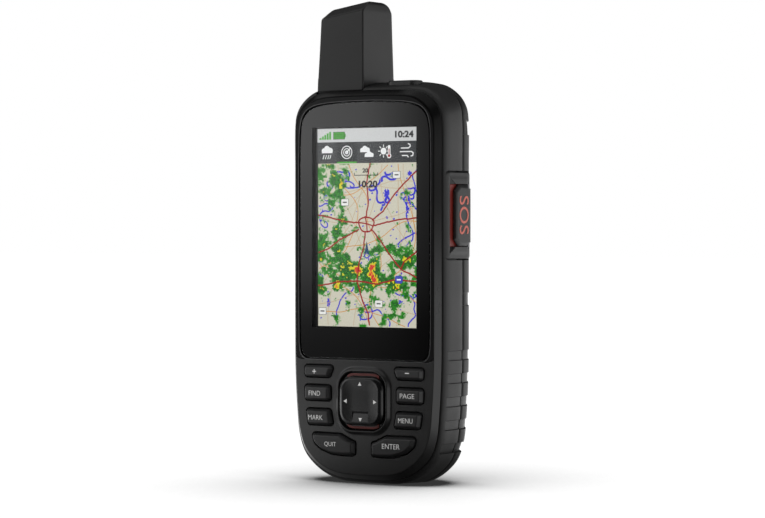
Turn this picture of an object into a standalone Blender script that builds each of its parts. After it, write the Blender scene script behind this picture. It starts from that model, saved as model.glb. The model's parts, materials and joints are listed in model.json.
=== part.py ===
"""Handheld satellite navigation unit, standing upright on its flat foot.

Frame: +X is the unit's right as seen from the front, -Y is the front, +Z is up.
The origin is the centre of the flat foot.  Lengths below are millimetres; "depth" is
the distance behind the display's image plane, so Y = depth - DEPTH_OF_ORIGIN.
"""

import math

import bmesh
import bpy
from mathutils import Matrix, Vector

# ---------------------------------------------------------------- dimensions (mm)
MM = 0.001
DEPTH_OF_ORIGIN = 9.0

HALF_WIDTH = 29.5  # front frame, widest
TOP_Z = 132.3
BOTTOM_Z = 1.1
MID_Z = 0.5 * (TOP_Z + BOTTOM_Z)
HALF_HEIGHT = 0.5 * (TOP_Z - BOTTOM_Z)
GAP = 0.3  # clearance between neighbouring pieces

FACE_DEPTH = -2.2  # keypad face
PLATE_BACK = -0.4  # rear of the face plate under the keys
FRAME_BACK = 1.1  # rear of the thicker plate round the display
SPLIT_FRONT = 0.2  # front frame flange ends, grip band starts
SPLIT_REAR = 11.4  # grip band ends, rear shell starts
WALL_OUT = -0.9  # hidden skirt of the front shell, against the outline
WALL_IN = -2.3
BACK_DEPTH = 25.8
BACK_WALL = 1.8

LENS_HALF = 26.3
LENS_TOP = 128.3
LENS_BOTTOM = 41.7
LENS_FRONT, LENS_BACK = -2.05, -0.95
WINDOW_HALF, WINDOW_LOW, WINDOW_HIGH = 21.9, 50.8, 121.2

KEY_TOP = -3.7
KEY_FLANGE_FRONT, KEY_FLANGE_BACK = -0.1, 0.5
KEY_GAP = 0.35
KEY_TRAVEL = 0.4

ROCKER_Z = 27.7
ROCKER_PIVOT_DEPTH = -1.0

ANT_LEFT, ANT_RIGHT = -21.3, -2.1
ANT_FRONT, ANT_REAR = 0.7, 21.1
ANT_BASE, ANT_SHOULDER = 132.4, 157.6
ANT_TOP = 163.0

POWER_X, POWER_HALF = 11.0, 6.2
POWER_D0, POWER_D1 = 3.6, 9.6

SOS_Z0, SOS_Z1 = 75.4, 104.6
SOS_D0, SOS_D1 = 1.3, 16.4
SOS_FACE = 31.0
SOS_HINGE_X, SOS_HINGE_D = 31.0, 14.7

USB_Z = 23.7
USB_HINGE_D, USB_HINGE_Z = 25.9, 19.35

SPINE_Z0, SPINE_Z1 = 58.0, 96.0
SPINE_OUT = 30.4

SCREWS = (
    ("upper_left", -18.5, 125.2),
    ("upper_right", 18.5, 125.2),
    ("middle_left", -22.6, 46.0),
    ("middle_right", 22.6, 46.0),
    ("lower_left", -12.0, 5.6),
    ("lower_right", 12.0, 5.6),
)

# right half of the front frame, from the middle of the top round to the foot
OUTLINE = (
    (0.0, 132.3), (10.0, 132.1), (17.0, 131.8), (21.4, 130.9), (24.8, 128.7),
    (27.3, 126.2), (28.7, 123.0), (29.4, 118.0), (29.5, 105.0), (29.5, 80.0),
    (29.5, 50.0), (29.2, 38.5), (28.3, 27.0), (27.1, 16.8), (24.4, 9.6),
    (20.6, 5.3), (16.0, 2.7), (11.5, 1.35), (6.0, 1.1),
)
LENS_OUTLINE = (
    (0.0, 128.3), (9.0, 128.1), (15.6, 127.7), (20.3, 126.9), (23.1, 125.5),
    (24.9, 123.4), (25.9, 120.0), (26.3, 112.0), (26.3, 80.0), (26.2, 52.0),
    (26.0, 45.8), (25.3, 43.3), (23.8, 42.0), (20.7, 41.7), (10.0, 41.7),
)

# ---------------------------------------------------------------- scene
for old in list(bpy.data.objects):
    bpy.data.objects.remove(old, do_unlink=True)

SCENE = bpy.context.scene.collection
ROOT = bpy.data.objects.new("gps_unit", None)
SCENE.objects.link(ROOT)


def material(name, colour, roughness, metallic=0.0):
    mat = bpy.data.materials.new(name)
    mat.use_nodes = True
    bsdf = mat.node_tree.nodes["Principled BSDF"]
    bsdf.inputs["Base Color"].default_value = (*colour, 1.0)
    bsdf.inputs["Roughness"].default_value = roughness
    bsdf.inputs["Metallic"].default_value = metallic
    return mat


SHELL = material("shell_plastic", (0.035, 0.035, 0.036), 0.55)
RUBBER = material("grip_rubber", (0.045, 0.045, 0.046), 0.8)
GLOSS = material("gloss_black", (0.008, 0.008, 0.009), 0.12)
GLASS = material("lens_glass", (0.02, 0.02, 0.022), 0.05)
SCREEN = material("display_glass", (0.55, 0.55, 0.45), 0.3)
KEYS = material("key_rubber", (0.04, 0.04, 0.041), 0.6)
RED = material("alert_red", (0.35, 0.03, 0.02), 0.45)
SEAL = material("seal_rubber", (0.012, 0.012, 0.012), 0.85)
STEEL = material("screw_steel", (0.32, 0.32, 0.33), 0.35, 1.0)
TIN = material("shield_tin", (0.6, 0.6, 0.6), 0.3, 1.0)
BOARD = material("circuit_board", (0.02, 0.12, 0.06), 0.5)
CELL = material("battery_wrap", (0.12, 0.13, 0.15), 0.4)
SILICONE = material("keypad_silicone", (0.25, 0.25, 0.26), 0.7)
CERAMIC = material("antenna_ceramic", (0.65, 0.6, 0.5), 0.6)
CABLE = material("lead_jacket", (0.05, 0.05, 0.05), 0.5)
CLEAR = material("light_pipe", (0.8, 0.8, 0.78), 0.1)
PART_PLASTIC = material("component_plastic", (0.03, 0.03, 0.03), 0.5)


# ---------------------------------------------------------------- points and outlines
def at(x, depth, z):
    return Vector((x * MM, (depth - DEPTH_OF_ORIGIN) * MM, z * MM))


def smooth_loop(half, count, bend):
    """Closed curve through the right half's points and their mirror images, with `count`
    points spaced closer where it bends."""
    ctrl = list(half) + [(-x, z) for x, z in reversed(half) if x > 0]
    n = len(ctrl)
    dense = []
    for i in range(n):
        p0, p1, p2, p3 = (Vector(ctrl[(i + k) % n]) for k in (-1, 0, 1, 2))
        t0 = 0.0
        t1 = t0 + math.sqrt((p1 - p0).length)
        t2 = t1 + math.sqrt((p2 - p1).length)
        t3 = t2 + math.sqrt((p3 - p2).length)
        for s in range(24):
            t = t1 + (t2 - t1) * s / 24
            a1 = p0 * ((t1 - t) / (t1 - t0)) + p1 * ((t - t0) / (t1 - t0))
            a2 = p1 * ((t2 - t) / (t2 - t1)) + p2 * ((t - t1) / (t2 - t1))
            a3 = p2 * ((t3 - t) / (t3 - t2)) + p3 * ((t - t2) / (t3 - t2))
            b1 = a1 * ((t2 - t) / (t2 - t0)) + a2 * ((t - t0) / (t2 - t0))
            b2 = a2 * ((t3 - t) / (t3 - t1)) + a3 * ((t - t1) / (t3 - t1))
            dense.append(b1 * ((t2 - t) / (t2 - t1)) + b2 * ((t - t1) / (t2 - t1)))
    m = len(dense)
    total, steps = 0.0, [0.0]
    for i in range(m):
        a, b, c = dense[i - 1], dense[i], dense[(i + 1) % m]
        turn = (b - a).angle(c - b, 0.0)
        total += (c - b).length + bend * turn
        steps.append(total)
    out, j = [], 0
    for k in range(count):
        want = total * k / count
        while steps[j + 1] < want:
            j += 1
        f = (want - steps[j]) / max(steps[j + 1] - steps[j], 1e-9)
        out.append(dense[j].lerp(dense[(j + 1) % m], f))
    return out


BODY = smooth_loop(OUTLINE, 60, 60.0)
LENS = smooth_loop(LENS_OUTLINE, 40, 60.0)


def ring(depth, side, top=None, foot=None, loop=None, floor=False):
    """The body outline at one depth, grown by `side` at the sides, `top` and `foot`."""
    top = side if top is None else top
    foot = side if foot is None else foot
    pts = []
    for p in loop or BODY:
        x = p.x * (1 + side / HALF_WIDTH)
        grow = top if p.y > MID_Z else foot
        z = MID_Z + (p.y - MID_Z) * (1 + grow / HALF_HEIGHT)
        pts.append(at(x, depth, max(z, 0.0) if floor else z))
    return pts


def rounded(points, radius, steps=3):
    """A polygon's corners replaced by arcs (radius may be one number or one per corner)."""
    out, n = [], len(points)
    for i in range(n):
        a, b, c = (Vector(points[(i + k) % n]) for k in (-1, 0, 1))
        r = radius[i] if isinstance(radius, (list, tuple)) else radius
        u, v = (a - b).normalized(), (c - b).normalized()
        half = 0.5 * u.angle(v)
        reach = min(r / math.tan(half), 0.48 * (a - b).length, 0.48 * (c - b).length)
        real = reach * math.tan(half)
        centre = b + (u + v).normalized() * (real / math.sin(half))
        start, end = b + u * reach - centre, b + v * reach - centre
        sweep = start.angle_signed(end)
        for s in range(steps + 1):
            q = start.copy()
            q.rotate(Matrix.Rotation(-sweep * s / steps, 2))
            out.append((centre.x + q.x, centre.y + q.y))
    return out


def grown(points, amount):
    """A polygon moved outwards by `amount` along its edges' normals."""
    n = len(points)
    area = sum(points[i][0] * points[(i + 1) % n][1] - points[(i + 1) % n][0] * points[i][1] for i in range(n))
    sign = 1.0 if area > 0 else -1.0
    out = []
    for i in range(n):
        a, b, c = (Vector(points[(i + k) % n]) for k in (-1, 0, 1))
        e1, e2 = (b - a).normalized(), (c - b).normalized()
        n1 = Vector((e1.y, -e1.x)) * sign
        n2 = Vector((e2.y, -e2.x)) * sign
        m = (n1 + n2).normalized()
        out.append(tuple(b + m * (amount / max(m.dot(n1), 0.35))))
    return out


def rect(x0, x1, y0, y1):
    return [(x0, y0), (x1, y0), (x1, y1), (x0, y1)]


# ---------------------------------------------------------------- solids
def finish(bm, name, mat, pivot=None, smooth=30.0):
    bmesh.ops.recalc_face_normals(bm, faces=bm.faces)
    mesh = bpy.data.meshes.new(name)
    if pivot is None:
        lo = Vector([min(v.co[i] for v in bm.verts) for i in range(3)])
        hi = Vector([max(v.co[i] for v in bm.verts) for i in range(3)])
        pivot = (lo + hi) / 2
    bmesh.ops.translate(bm, verts=bm.verts, vec=-pivot)
    bm.to_mesh(mesh)
    bm.free()
    obj = bpy.data.objects.new(name, mesh)
    SCENE.objects.link(obj)
    obj.location = pivot
    obj.parent = ROOT
    if mat:
        mesh.materials.append(mat)
        if smooth:
            mesh.shade_smooth()
            mesh.set_sharp_from_angle(angle=math.radians(smooth))
    else:
        obj.hide_render = True
        obj.display_type = "WIRE"
    return obj


def add_loft(bm, rings, fan_end=False):
    """Rings of points joined side by side, with both ends closed."""
    rows = [[bm.verts.new(p) for p in r] for r in rings]
    n = len(rows[0])
    for a, b in zip(rows, rows[1:]):
        for i in range(n):
            bm.faces.new((a[i], a[(i + 1) % n], b[(i + 1) % n], b[i]))
    bm.faces.new(rows[0])
    if fan_end:
        middle = bm.verts.new(sum((v.co for v in rows[-1]), Vector()) / n)
        for i in range(n):
            bm.faces.new((rows[-1][i], rows[-1][(i + 1) % n], middle))
    else:
        bm.faces.new(list(reversed(rows[-1])))


def loft(name, rings, mat=None, pivot=None, fan_end=False):
    bm = bmesh.new()
    add_loft(bm, rings, fan_end)
    return finish(bm, name, mat, pivot)


def tube(name, rings, mat=None, pivot=None):
    """Rings joined into a closed sleeve: the last one joins the first."""
    bm = bmesh.new()
    rows = [[bm.verts.new(p) for p in r] for r in rings]
    n = len(rows[0])
    for a, b in zip(rows, rows[1:] + rows[:1]):
        for i in range(n):
            bm.faces.new((a[i], a[(i + 1) % n], b[(i + 1) % n], b[i]))
    return finish(bm, name, mat, pivot)


def place(plane, p, h):
    if plane == "front":
        return at(p[0], h, p[1])
    if plane == "side":
        return at(h, p[0], p[1])
    return at(p[0], p[1], h)


def add_stack(bm, plane, layers):
    """Layers of (outline, height) stacked into one solid; plane is front, side or plan."""
    add_loft(bm, [[place(plane, p, h) for p in pts] for pts, h in layers])


def stack(name, plane, layers, mat=None, pivot=None):
    bm = bmesh.new()
    add_stack(bm, plane, layers)
    return finish(bm, name, mat, pivot)


def block(name, x, d, z, mat=None, pivot=None, chamfer=0.0):
    layers = [(rect(*x, *z), d[0]), (rect(*x, *z), d[1])]
    bm = bmesh.new()
    add_stack(bm, "front", layers)
    if chamfer:
        bmesh.ops.bevel(bm, geom=list(bm.edges), offset=chamfer * MM, segments=1, affect="EDGES")
    return finish(bm, name, mat, pivot)


def circle(cx, cy, r, seg):
    return [
        (cx + r * math.cos(2 * math.pi * i / seg), cy + r * math.sin(2 * math.pi * i / seg))
        for i in range(seg)
    ]


def turned(name, plane, cx, cy, profile, seg, mat=None, pivot=None):
    """A turned piece: profile is (radius, height along the axis)."""
    return stack(name, plane, [(circle(cx, cy, r, seg), h) for r, h in profile], mat, pivot)


def cutter(name, *stacks):
    """One cutting tool made of several separate prisms."""
    bm = bmesh.new()
    for plane, layers in stacks:
        add_stack(bm, plane, layers)
    return finish(bm, name, None, Vector())


def boolean(obj, other, operation="DIFFERENCE"):
    mod = obj.modifiers.new(operation.lower() + "_" + other.name, "BOOLEAN")
    mod.operation = operation
    mod.solver = "EXACT"
    mod.object = other
    other.hide_render = True
    other.display_type = "WIRE"
    return obj


def pin_stack(plane, cx, cy, r, h0, h1, seg=16):
    return (plane, [(circle(cx, cy, r, seg), h0), (circle(cx, cy, r, seg), h1)])


def box_stack(x, d, z):
    return ("front", [(rect(*x, *z), d[0]), (rect(*x, *z), d[1])])


# ---------------------------------------------------------------- keys
KEY_SHAPES = {
    "key_zoom_in": [(-24.0, 39.25), (-12.1, 39.25), (-13.85, 35.35), (-23.9, 35.35)],
    "key_zoom_out": [(12.1, 39.25), (24.0, 39.25), (23.9, 35.35), (13.85, 35.35)],
    "key_find": [(-23.95, 32.5), (-13.45, 32.5), (-13.45, 27.4), (-23.8, 27.4)],
    "key_page": [(13.45, 32.5), (23.95, 32.5), (23.8, 27.4), (13.45, 27.4)],
    "key_mark": [(-23.4, 24.45), (-13.45, 24.45), (-12.4, 19.1), (-22.5, 19.1)],
    "key_menu": [(13.45, 24.45), (23.4, 24.45), (22.5, 19.1), (12.4, 19.1)],
    "key_quit": [(-21.2, 16.3), (-9.2, 16.2), (-4.9, 14.2), (-3.45, 13.9), (-3.45, 9.3), (-8.0, 9.15), (-12.6, 9.4), (-17.2, 10.8), (-19.9, 12.8)],
    "key_enter": [(21.2, 16.3), (9.2, 16.2), (4.9, 14.2), (3.45, 13.9), (3.45, 9.3), (8.0, 9.15), (12.6, 9.4), (17.2, 10.8), (19.9, 12.8)],
}
key_cuts = []
for name, shape in KEY_SHAPES.items():
    outer = rounded(shape, 0.9, 3)
    stack(
        name,
        "front",
        [
            (grown(outer, 0.85), KEY_FLANGE_BACK),
            (grown(outer, 0.85), KEY_FLANGE_FRONT),
            (outer, KEY_FLANGE_FRONT),
            (outer, KEY_TOP + 0.55),
            (grown(outer, -0.2), KEY_TOP + 0.15),
            (grown(outer, -0.6), KEY_TOP),
        ],
        KEYS,
    )
    key_cuts.append(("front", [(grown(outer, KEY_GAP), -4.0), (grown(outer, KEY_GAP), 2.0)]))

# ---------------------------------------------------------------- front shell
front = loft(
    "front_case",
    [
        ring(FRAME_BACK, WALL_IN),
        ring(10.9, WALL_IN),
        ring(10.9, WALL_OUT),
        ring(SPLIT_FRONT, WALL_OUT),
        ring(SPLIT_FRONT, 0.0),
        ring(-0.5, 0.0),
        ring(FACE_DEPTH, -1.7, -2.0, -1.9),
    ],
    SHELL,
)


def u_region(half, low, radius, high=140.0):
    return rounded(
        [(-half, low), (half, low), (half, high), (-half, high)], [radius, radius, 0.01, 0.01], 5
    )


def lens_points(grow):
    return [
        (
            p.x * (1 + grow / LENS_HALF),
            85.15 + (p.y - 85.15) * (1 + grow / (0.5 * (LENS_TOP - LENS_BOTTOM))),
        )
        for p in LENS
    ]


ROCKER_HOLE = rounded([(-9.5, -9.9), (9.5, -9.9), (9.5, 9.9), (-9.5, 9.9)], 5.6, 5)
ROCKER_HOLE = [(x, z + ROCKER_Z) for x, z in ROCKER_HOLE]
rim = tube(
    "rocker_rim",
    [
        [at(*p[:1], -1.2, p[1]) for p in ROCKER_HOLE],
        [at(*p[:1], -3.3, p[1]) for p in ROCKER_HOLE],
        [at(*p[:1], -3.3, p[1]) for p in grown(ROCKER_HOLE, 0.7)],
        [at(*p[:1], FACE_DEPTH, p[1]) for p in grown(ROCKER_HOLE, 1.6)],
        [at(*p[:1], -1.2, p[1]) for p in grown(ROCKER_HOLE, 1.6)],
    ],
)

boss_bm = bmesh.new()
for _, sx, sz in SCREWS:
    add_stack(boss_bm, "front", [(circle(sx, sz, 2.4, 12), 0.85), (circle(sx, sz, 2.4, 12), 15.0)])
bosses = finish(boss_bm, "front_bosses", None, Vector())
boss_keep = loft(
    "boss_limit",
    [ring(0.3, WALL_OUT - 0.4), ring(10.7, WALL_OUT - 0.4), ring(10.7, WALL_IN - 0.5), ring(15.4, WALL_IN - 0.9)],
)
boolean(bosses, boss_keep, "INTERSECT")

inner_keys = [
    (p.x * (1 - 2.5 / HALF_WIDTH), MID_Z + (p.y - MID_Z) * (1 - 2.6 / HALF_HEIGHT))
    for p in BODY
]
keypad_room = cutter("keypad_room", ("front", [(inner_keys, PLATE_BACK), (inner_keys, FRAME_BACK + 1.0)]))
keypad_limit = cutter(
    "keypad_limit", box_stack((-40, 40), (PLATE_BACK - 0.5, FRAME_BACK + 2.0), (7.7, 40.9))
)
boolean(keypad_room, keypad_limit, "INTERSECT")

openings = cutter("front_openings", *key_cuts)
face_recess = cutter(
    "face_recess", ("front", [(u_region(29.3, 40.75, 4.4), -4.0), (u_region(29.3, 40.75, 4.4), -1.05)])
)
recess_limit = loft("recess_limit", [ring(-5.0, -1.45, -1.75, -1.65), ring(0.0, -1.45, -1.75, -1.65)])
boolean(face_recess, recess_limit, "INTERSECT")
lens_pocket = cutter("lens_pocket", ("front", [(lens_points(GAP), -3.0), (lens_points(GAP), -0.05)]))
window = cutter(
    "window_opening",
    box_stack((-WINDOW_HALF, WINDOW_HALF), (-2.0, 3.0), (WINDOW_LOW, WINDOW_HIGH)),
)
rocker_cut = cutter("rocker_opening", ("front", [(ROCKER_HOLE, -6.0), (ROCKER_HOLE, 3.0)]))
skirt_holes = cutter(
    "skirt_holes",
    ("plan", [(circle(-11.7, 6.5, 1.5, 12), 126.0), (circle(-11.7, 6.5, 1.5, 12), 136.0)]),
    ("plan", [(circle(POWER_X, 6.4, 1.6, 12), 126.0), (circle(POWER_X, 6.4, 1.6, 12), 136.0)]),
    ("side", [(rect(4.6, 7.8, 86.6, 93.4), 25.4), (rect(4.6, 7.8, 86.6, 93.4), 34.0)]),
)
pilot_holes = cutter(
    "pilot_holes", *(pin_stack("front", sx, sz, 1.3, 6.0, 16.0, 12) for _, sx, sz in SCREWS)
)
boolean(front, keypad_room)
boolean(front, bosses, "UNION")
boolean(front, rim, "UNION")
boolean(front, openings)
boolean(front, face_recess)
boolean(front, lens_pocket)
boolean(front, window)
boolean(front, rocker_cut)
boolean(front, skirt_holes)
boolean(front, pilot_holes)

# ---------------------------------------------------------------- lens, trim, gasket
trim = loft(
    "lens_trim",
    [ring(-1.35, -1.75, -2.05, -1.95), ring(FACE_DEPTH + 0.1, -1.75, -2.05, -1.95), ring(FACE_DEPTH, -1.9, -2.2, -2.1)],
    GLOSS,
)
trim_limit = cutter(
    "trim_limit", ("front", [(u_region(29.1, 41.0, 4.2), -4.0), (u_region(29.1, 41.0, 4.2), 0.0)])
)
trim_hole = cutter("trim_hole", ("front", [(lens_points(0.28), -4.0), (lens_points(0.28), 0.0)]))
boolean(trim, trim_limit, "INTERSECT")
boolean(trim, trim_hole)

stack(
    "display_lens",
    "front",
    [(lens_points(0.0), LENS_BACK), (lens_points(0.0), LENS_FRONT + 0.2), (lens_points(-0.2), LENS_FRONT)],
    GLASS,
)
gasket_in = rounded(rect(-23.4, 23.4, 49.4, 122.6), 2.0, 4)
gasket = stack("lens_gasket", "front", [(lens_points(-0.3), -0.65), (lens_points(-0.3), -0.35)], SEAL)
boolean(gasket, cutter("gasket_hole", ("front", [(gasket_in, -2.0), (gasket_in, 1.0)])))

# ---------------------------------------------------------------- display
block("display_panel", (-21.3, 21.3), (0.0, 2.0), (51.4, 120.6), SCREEN)
tray = block("display_frame", (-22.1, 22.1), (1.45, 2.65), (50.5, 121.5), TIN)
boolean(tray, cutter("tray_room", box_stack((-21.6, 21.6), (0.0, 2.3), (51.0, 121.0))))

# ---------------------------------------------------------------- keypad inner pieces
mat_shape = rounded([(-24.0, 34.0), (-24.6, 40.3), (24.6, 40.3), (24.0, 34.0), (22.6, 17.0), (17.0, 8.8), (-17.0, 8.8), (-22.6, 17.0)], 1.5, 2)
stack("keypad_mat", "front", [(mat_shape, 1.0), (mat_shape, 1.8)], SILICONE)
sheet_shape = grown(mat_shape, -0.8)
stack("dome_sheet", "front", [(sheet_shape, 2.1), (sheet_shape, 2.4)], TIN)

# ---------------------------------------------------------------- rocker
def rocker_shape(hx, hz, r):
    return [(x, z + ROCKER_Z) for x, z in rounded([(-hx, -hz), (hx, -hz), (hx, hz), (-hx, hz)], r, 4)]


rocker_pivot = at(0, ROCKER_PIVOT_DEPTH, ROCKER_Z)
ring_shape = rocker_shape(9.1, 9.5, 5.3)
accent = stack(
    "rocker_ring", "front", [(ring_shape, -1.5), (ring_shape, -2.1), (grown(ring_shape, -0.2), -2.3)], RED, rocker_pivot
)
boolean(accent, cutter("ring_hole", pin_stack("front", 0.0, ROCKER_Z, 3.3, -4.0, 1.0, 20)))
pad = rocker_shape(8.85, 8.1, 4.4)
pad_bm = bmesh.new()
add_stack(
    pad_bm,
    "front",
    [
        (pad, -3.1),
        (pad, -4.1),
        (rocker_shape(8.2, 7.45, 3.9), -4.6),
        (rocker_shape(7.4, 6.65, 3.3), -4.55),
        (rocker_shape(5.6, 4.9, 2.2), -4.05),
    ],
)
rocker_pad = finish(pad_bm, "rocker_pad", GLOSS, rocker_pivot)
post = turned("rocker_post", "front", 0.0, ROCKER_Z, [(2.4, 0.3), (2.4, -3.6)], 16)
boolean(rocker_pad, post, "UNION")

# ---------------------------------------------------------------- boards and parts inside
board = stack(
    "main_board",
    "front",
    [
        ([(-18.0, 9.0), (18.0, 9.0), (19.6, 16.0), (19.6, 84.0), (25.4, 84.0), (25.4, 96.0), (19.6, 96.0), (19.6, 121.5), (15.2, 121.5), (15.2, 127.4), (-15.2, 127.4), (-15.2, 121.5), (-19.6, 121.5), (-19.6, 16.0)], h)
        for h in (2.95, 3.95)
    ],
    BOARD,
)
block("shield_can_main", (-15.0, 15.0), (4.25, 6.8), (44.0, 80.0), TIN, chamfer=0.3)
block("shield_can_radio", (-18.0, -4.0), (4.25, 7.2), (98.0, 118.0), TIN, chamfer=0.3)
block("battery_pad", (-14.0, 14.0), (7.1, 7.7), (42.0, 86.0), SILICONE)
cell = stack(
    "battery_pack",
    "plan",
    [(rounded(rect(-17.0, 17.0, 8.0, 21.0), 3.0, 4), h) for h in (36.0, 92.0)],
    CELL,
)
block("battery_connector", (12.0, 18.0), (4.25, 6.6), (97.4, 100.6), PART_PLASTIC, chamfer=0.2)
turned("beeper", "front", 11.5, 109.5, [(4.8, 4.25), (4.8, 7.6), (4.2, 8.0)], 20, PART_PLASTIC)
switch = block("power_switch", (8.4, 13.6), (4.25, 8.2), (122.4, 126.6), STEEL, chamfer=0.2)
boolean(switch, turned("power_plunger", "plan", POWER_X, 6.4, [(1.0, 126.0), (1.0, 127.2)], 12), "UNION")
sos_switch = block("sos_switch", (22.4, 25.2), (4.25, 8.2), (86.8, 93.2), STEEL, chamfer=0.2)
boolean(sos_switch, turned("sos_plunger", "side", 6.2, 90.0, [(1.0, 24.8), (1.0, 25.9)], 12), "UNION")


def lead(name, points, radius, mat):
    """A wire on a smooth route through the given points, with filled ends."""
    pts = [Vector(at(*p)) for p in points]
    curve = bpy.data.curves.new(name, "CURVE")
    curve.dimensions = "3D"
    curve.bevel_depth = radius * MM
    curve.bevel_resolution = 2
    curve.use_fill_caps = True
    fine = []
    for i in range(len(pts) - 1):
        p0, p1 = pts[max(i - 1, 0)], pts[i]
        p2, p3 = pts[i + 1], pts[min(i + 2, len(pts) - 1)]
        for s in range(3):
            t = s / 3
            fine.append(
                0.5 * ((2 * p1) + (p2 - p0) * t + (2 * p0 - 5 * p1 + 4 * p2 - p3) * t * t + (3 * p1 - p0 - 3 * p2 + p3) * t ** 3)
            )
    fine.append(pts[-1])
    spline = curve.splines.new("POLY")
    spline.points.add(len(fine) - 1)
    for sp, p in zip(spline.points, fine):
        sp.co = (*p, 1.0)
    curve.materials.append(mat)
    obj = bpy.data.objects.new(name, curve)
    SCENE.objects.link(obj)
    obj.parent = ROOT
    return obj


lead("battery_lead", [(8.0, 14.0, 92.4), (8.2, 13.6, 94.5), (10.0, 11.0, 98.0), (13.0, 8.6, 99.4), (15.0, 7.3, 99.2)], 0.7, CABLE)
lead("antenna_lead", [(-11.7, 6.5, 135.0), (-11.7, 6.5, 131.0), (-11.7, 6.4, 127.6), (-11.8, 5.6, 124.4), (-12.0, 4.9, 122.4), (-12.0, 4.75, 121.4)], 0.5, CABLE)

usb_board = block("usb_board", (-9.0, 9.0), (13.4, 14.4), (15.5, 31.0), BOARD)
socket = block("usb_socket", (-4.1, 4.1), (14.7, 22.4), (22.1, 25.3), TIN, chamfer=0.25)
boolean(socket, cutter("socket_slot", box_stack((-3.5, 3.5), (16.2, 24.0), (22.7, 24.7))))
lead("usb_lead", [(-6.5, 13.1, 30.0), (-6.5, 11.6, 31.4), (-6.5, 8.4, 33.0), (-6.5, 6.0, 34.4), (-6.5, 4.7, 35.4)], 0.6, CABLE)

led = block("flashlight_led", (0.8, 5.2), (4.25, 5.3), (112.3, 116.7), CLEAR)
turned(
    "flashlight_lens",
    "front",
    3.0,
    114.5,
    [(2.2, 5.7), (2.2, 23.75), (3.9, 23.75), (3.9, 25.4), (3.3, 26.0)],
    24,
    CLEAR,
)
turned("vent_membrane", "front", -11.0, 114.5, [(3.0, 23.2), (3.0, 23.7)], 20, SILICONE)

# ---------------------------------------------------------------- grip band
SECTION = (  # depth, growth at side, top and foot
    (0.55, 0.1, 0.3, 0.5),
    (1.3, 0.85, 1.3, 1.2),
    (2.6, 1.35, 2.2, 1.45),
    (5.0, 1.5, 2.6, 1.45),
    (8.5, 1.45, 2.6, 1.45),
    (10.6, 1.15, 2.3, 1.45),
    (SPLIT_REAR, 0.75, 1.9, 1.1),
)
band = tube(
    "grip_band",
    [ring(0.55, -0.5), ring(SPLIT_REAR, -0.5)]
    + [ring(d, s, t, f, floor=True) for d, s, t, f in reversed(SECTION)],
    RUBBER,
)


def ant_section(grow, z_of, inset=(0.0, 0.0, 0.0, 0.0), rear=3.4, front=0.7):
    """The antenna's plan at one level: front corners crisp, rear corners round. inset is left, right, front, rear."""
    x0, x1 = ANT_LEFT - grow + inset[0], ANT_RIGHT + grow - inset[1]
    d0, d1 = ANT_FRONT - grow + inset[2], ANT_REAR + grow - inset[3]
    pts = rounded([(x0, d0), (x1, d0), (x1, d1), (x0, d1)], [front, front, rear, rear], 4)
    return [at(x, d, z_of(x, d)) for x, d in pts]


GROOVE_Z = (43.4, 35.75, 28.0, 20.25, 12.4)


def side_at(z):
    """Half width and slope of the outline at height z."""
    right = [p for p in BODY if p.x > 15.0]
    right.sort(key=lambda p: p.y)
    for a, b in zip(right, right[1:]):
        if a.y <= z <= b.y:
            f = (z - a.y) / (b.y - a.y)
            return a.x + (b.x - a.x) * f, math.atan2(b.x - a.x, b.y - a.y)
    return HALF_WIDTH, 0.0


groove_bm = bmesh.new()
for z in GROOVE_Z:
    x, lean = side_at(z)
    for sign in (1, -1):
        made = bmesh.ops.create_cube(groove_bm, size=1.0)
        turn = Matrix.Rotation(sign * lean, 4, "Y")
        where = Matrix.Translation(at(sign * (x + 1.5 + 2.0 - 0.42), 8.6, z))
        bmesh.ops.transform(
            groove_bm,
            verts=made["verts"],
            matrix=where @ turn @ Matrix.Diagonal((4.0 * MM, 10.0 * MM, 3.0 * MM, 1.0)),
        )
grooves = finish(groove_bm, "grip_grooves", None, Vector())

ant_pocket = loft("antenna_pocket", [ant_section(GAP, lambda x, d: 130.0), ant_section(GAP, lambda x, d: 140.0)])
power_shape = [(x, z) for x, z in rounded(rect(POWER_X - POWER_HALF, POWER_X + POWER_HALF, POWER_D0, POWER_D1), 2.6, 4)]
power_pocket = cutter(
    "power_pocket", ("plan", [(grown(power_shape, GAP), 131.0), (grown(power_shape, GAP), 140.0)])
)
sos_outline = rounded(rect(SOS_D0, SOS_D1, SOS_Z0, SOS_Z1), 1.0, 2)
sos_pocket = cutter(
    "sos_pocket", ("side", [(grown(sos_outline, GAP), 28.65), (grown(sos_outline, GAP), 36.0)])
)
for tool in (grooves, ant_pocket, power_pocket, sos_pocket):
    boolean(band, tool)

# ---------------------------------------------------------------- seal and rear shell
tube(
    "case_seal",
    [ring(11.2, WALL_OUT - 0.1), ring(11.2, WALL_IN + 0.1), ring(11.55, WALL_IN + 0.1), ring(11.55, WALL_OUT - 0.1)],
    SEAL,
)
rear = loft(
    "rear_case",
    [
        ring(BACK_DEPTH - BACK_WALL, -10.0, -10.0, -9.0),
        ring(BACK_DEPTH - BACK_WALL - 1.4, -6.4, -6.0, -6.0),
        ring(20.0, -4.2, -3.6, -3.6),
        ring(15.0, -2.7, -2.6, -2.6),
        ring(11.95, -2.4),
        ring(11.95, 0.85, 1.9, 1.2, floor=True),
        ring(12.7, 1.1, 2.2, 1.45, floor=True),
        ring(15.0, 0.75, 1.9, 1.45, floor=True),
        ring(17.4, 0.0, 1.2, 1.4, floor=True),
        ring(20.0, -1.3, -0.2, 0.2),
        ring(22.4, -3.0, -2.2, -1.8),
        ring(24.4, -5.4, -5.0, -4.6),
        ring(25.4, -7.8, -7.6, -7.2),
        ring(BACK_DEPTH, -10.6, -10.6, -10.0),
    ],
    SHELL,
)
rear_boss_bm = bmesh.new()
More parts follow.
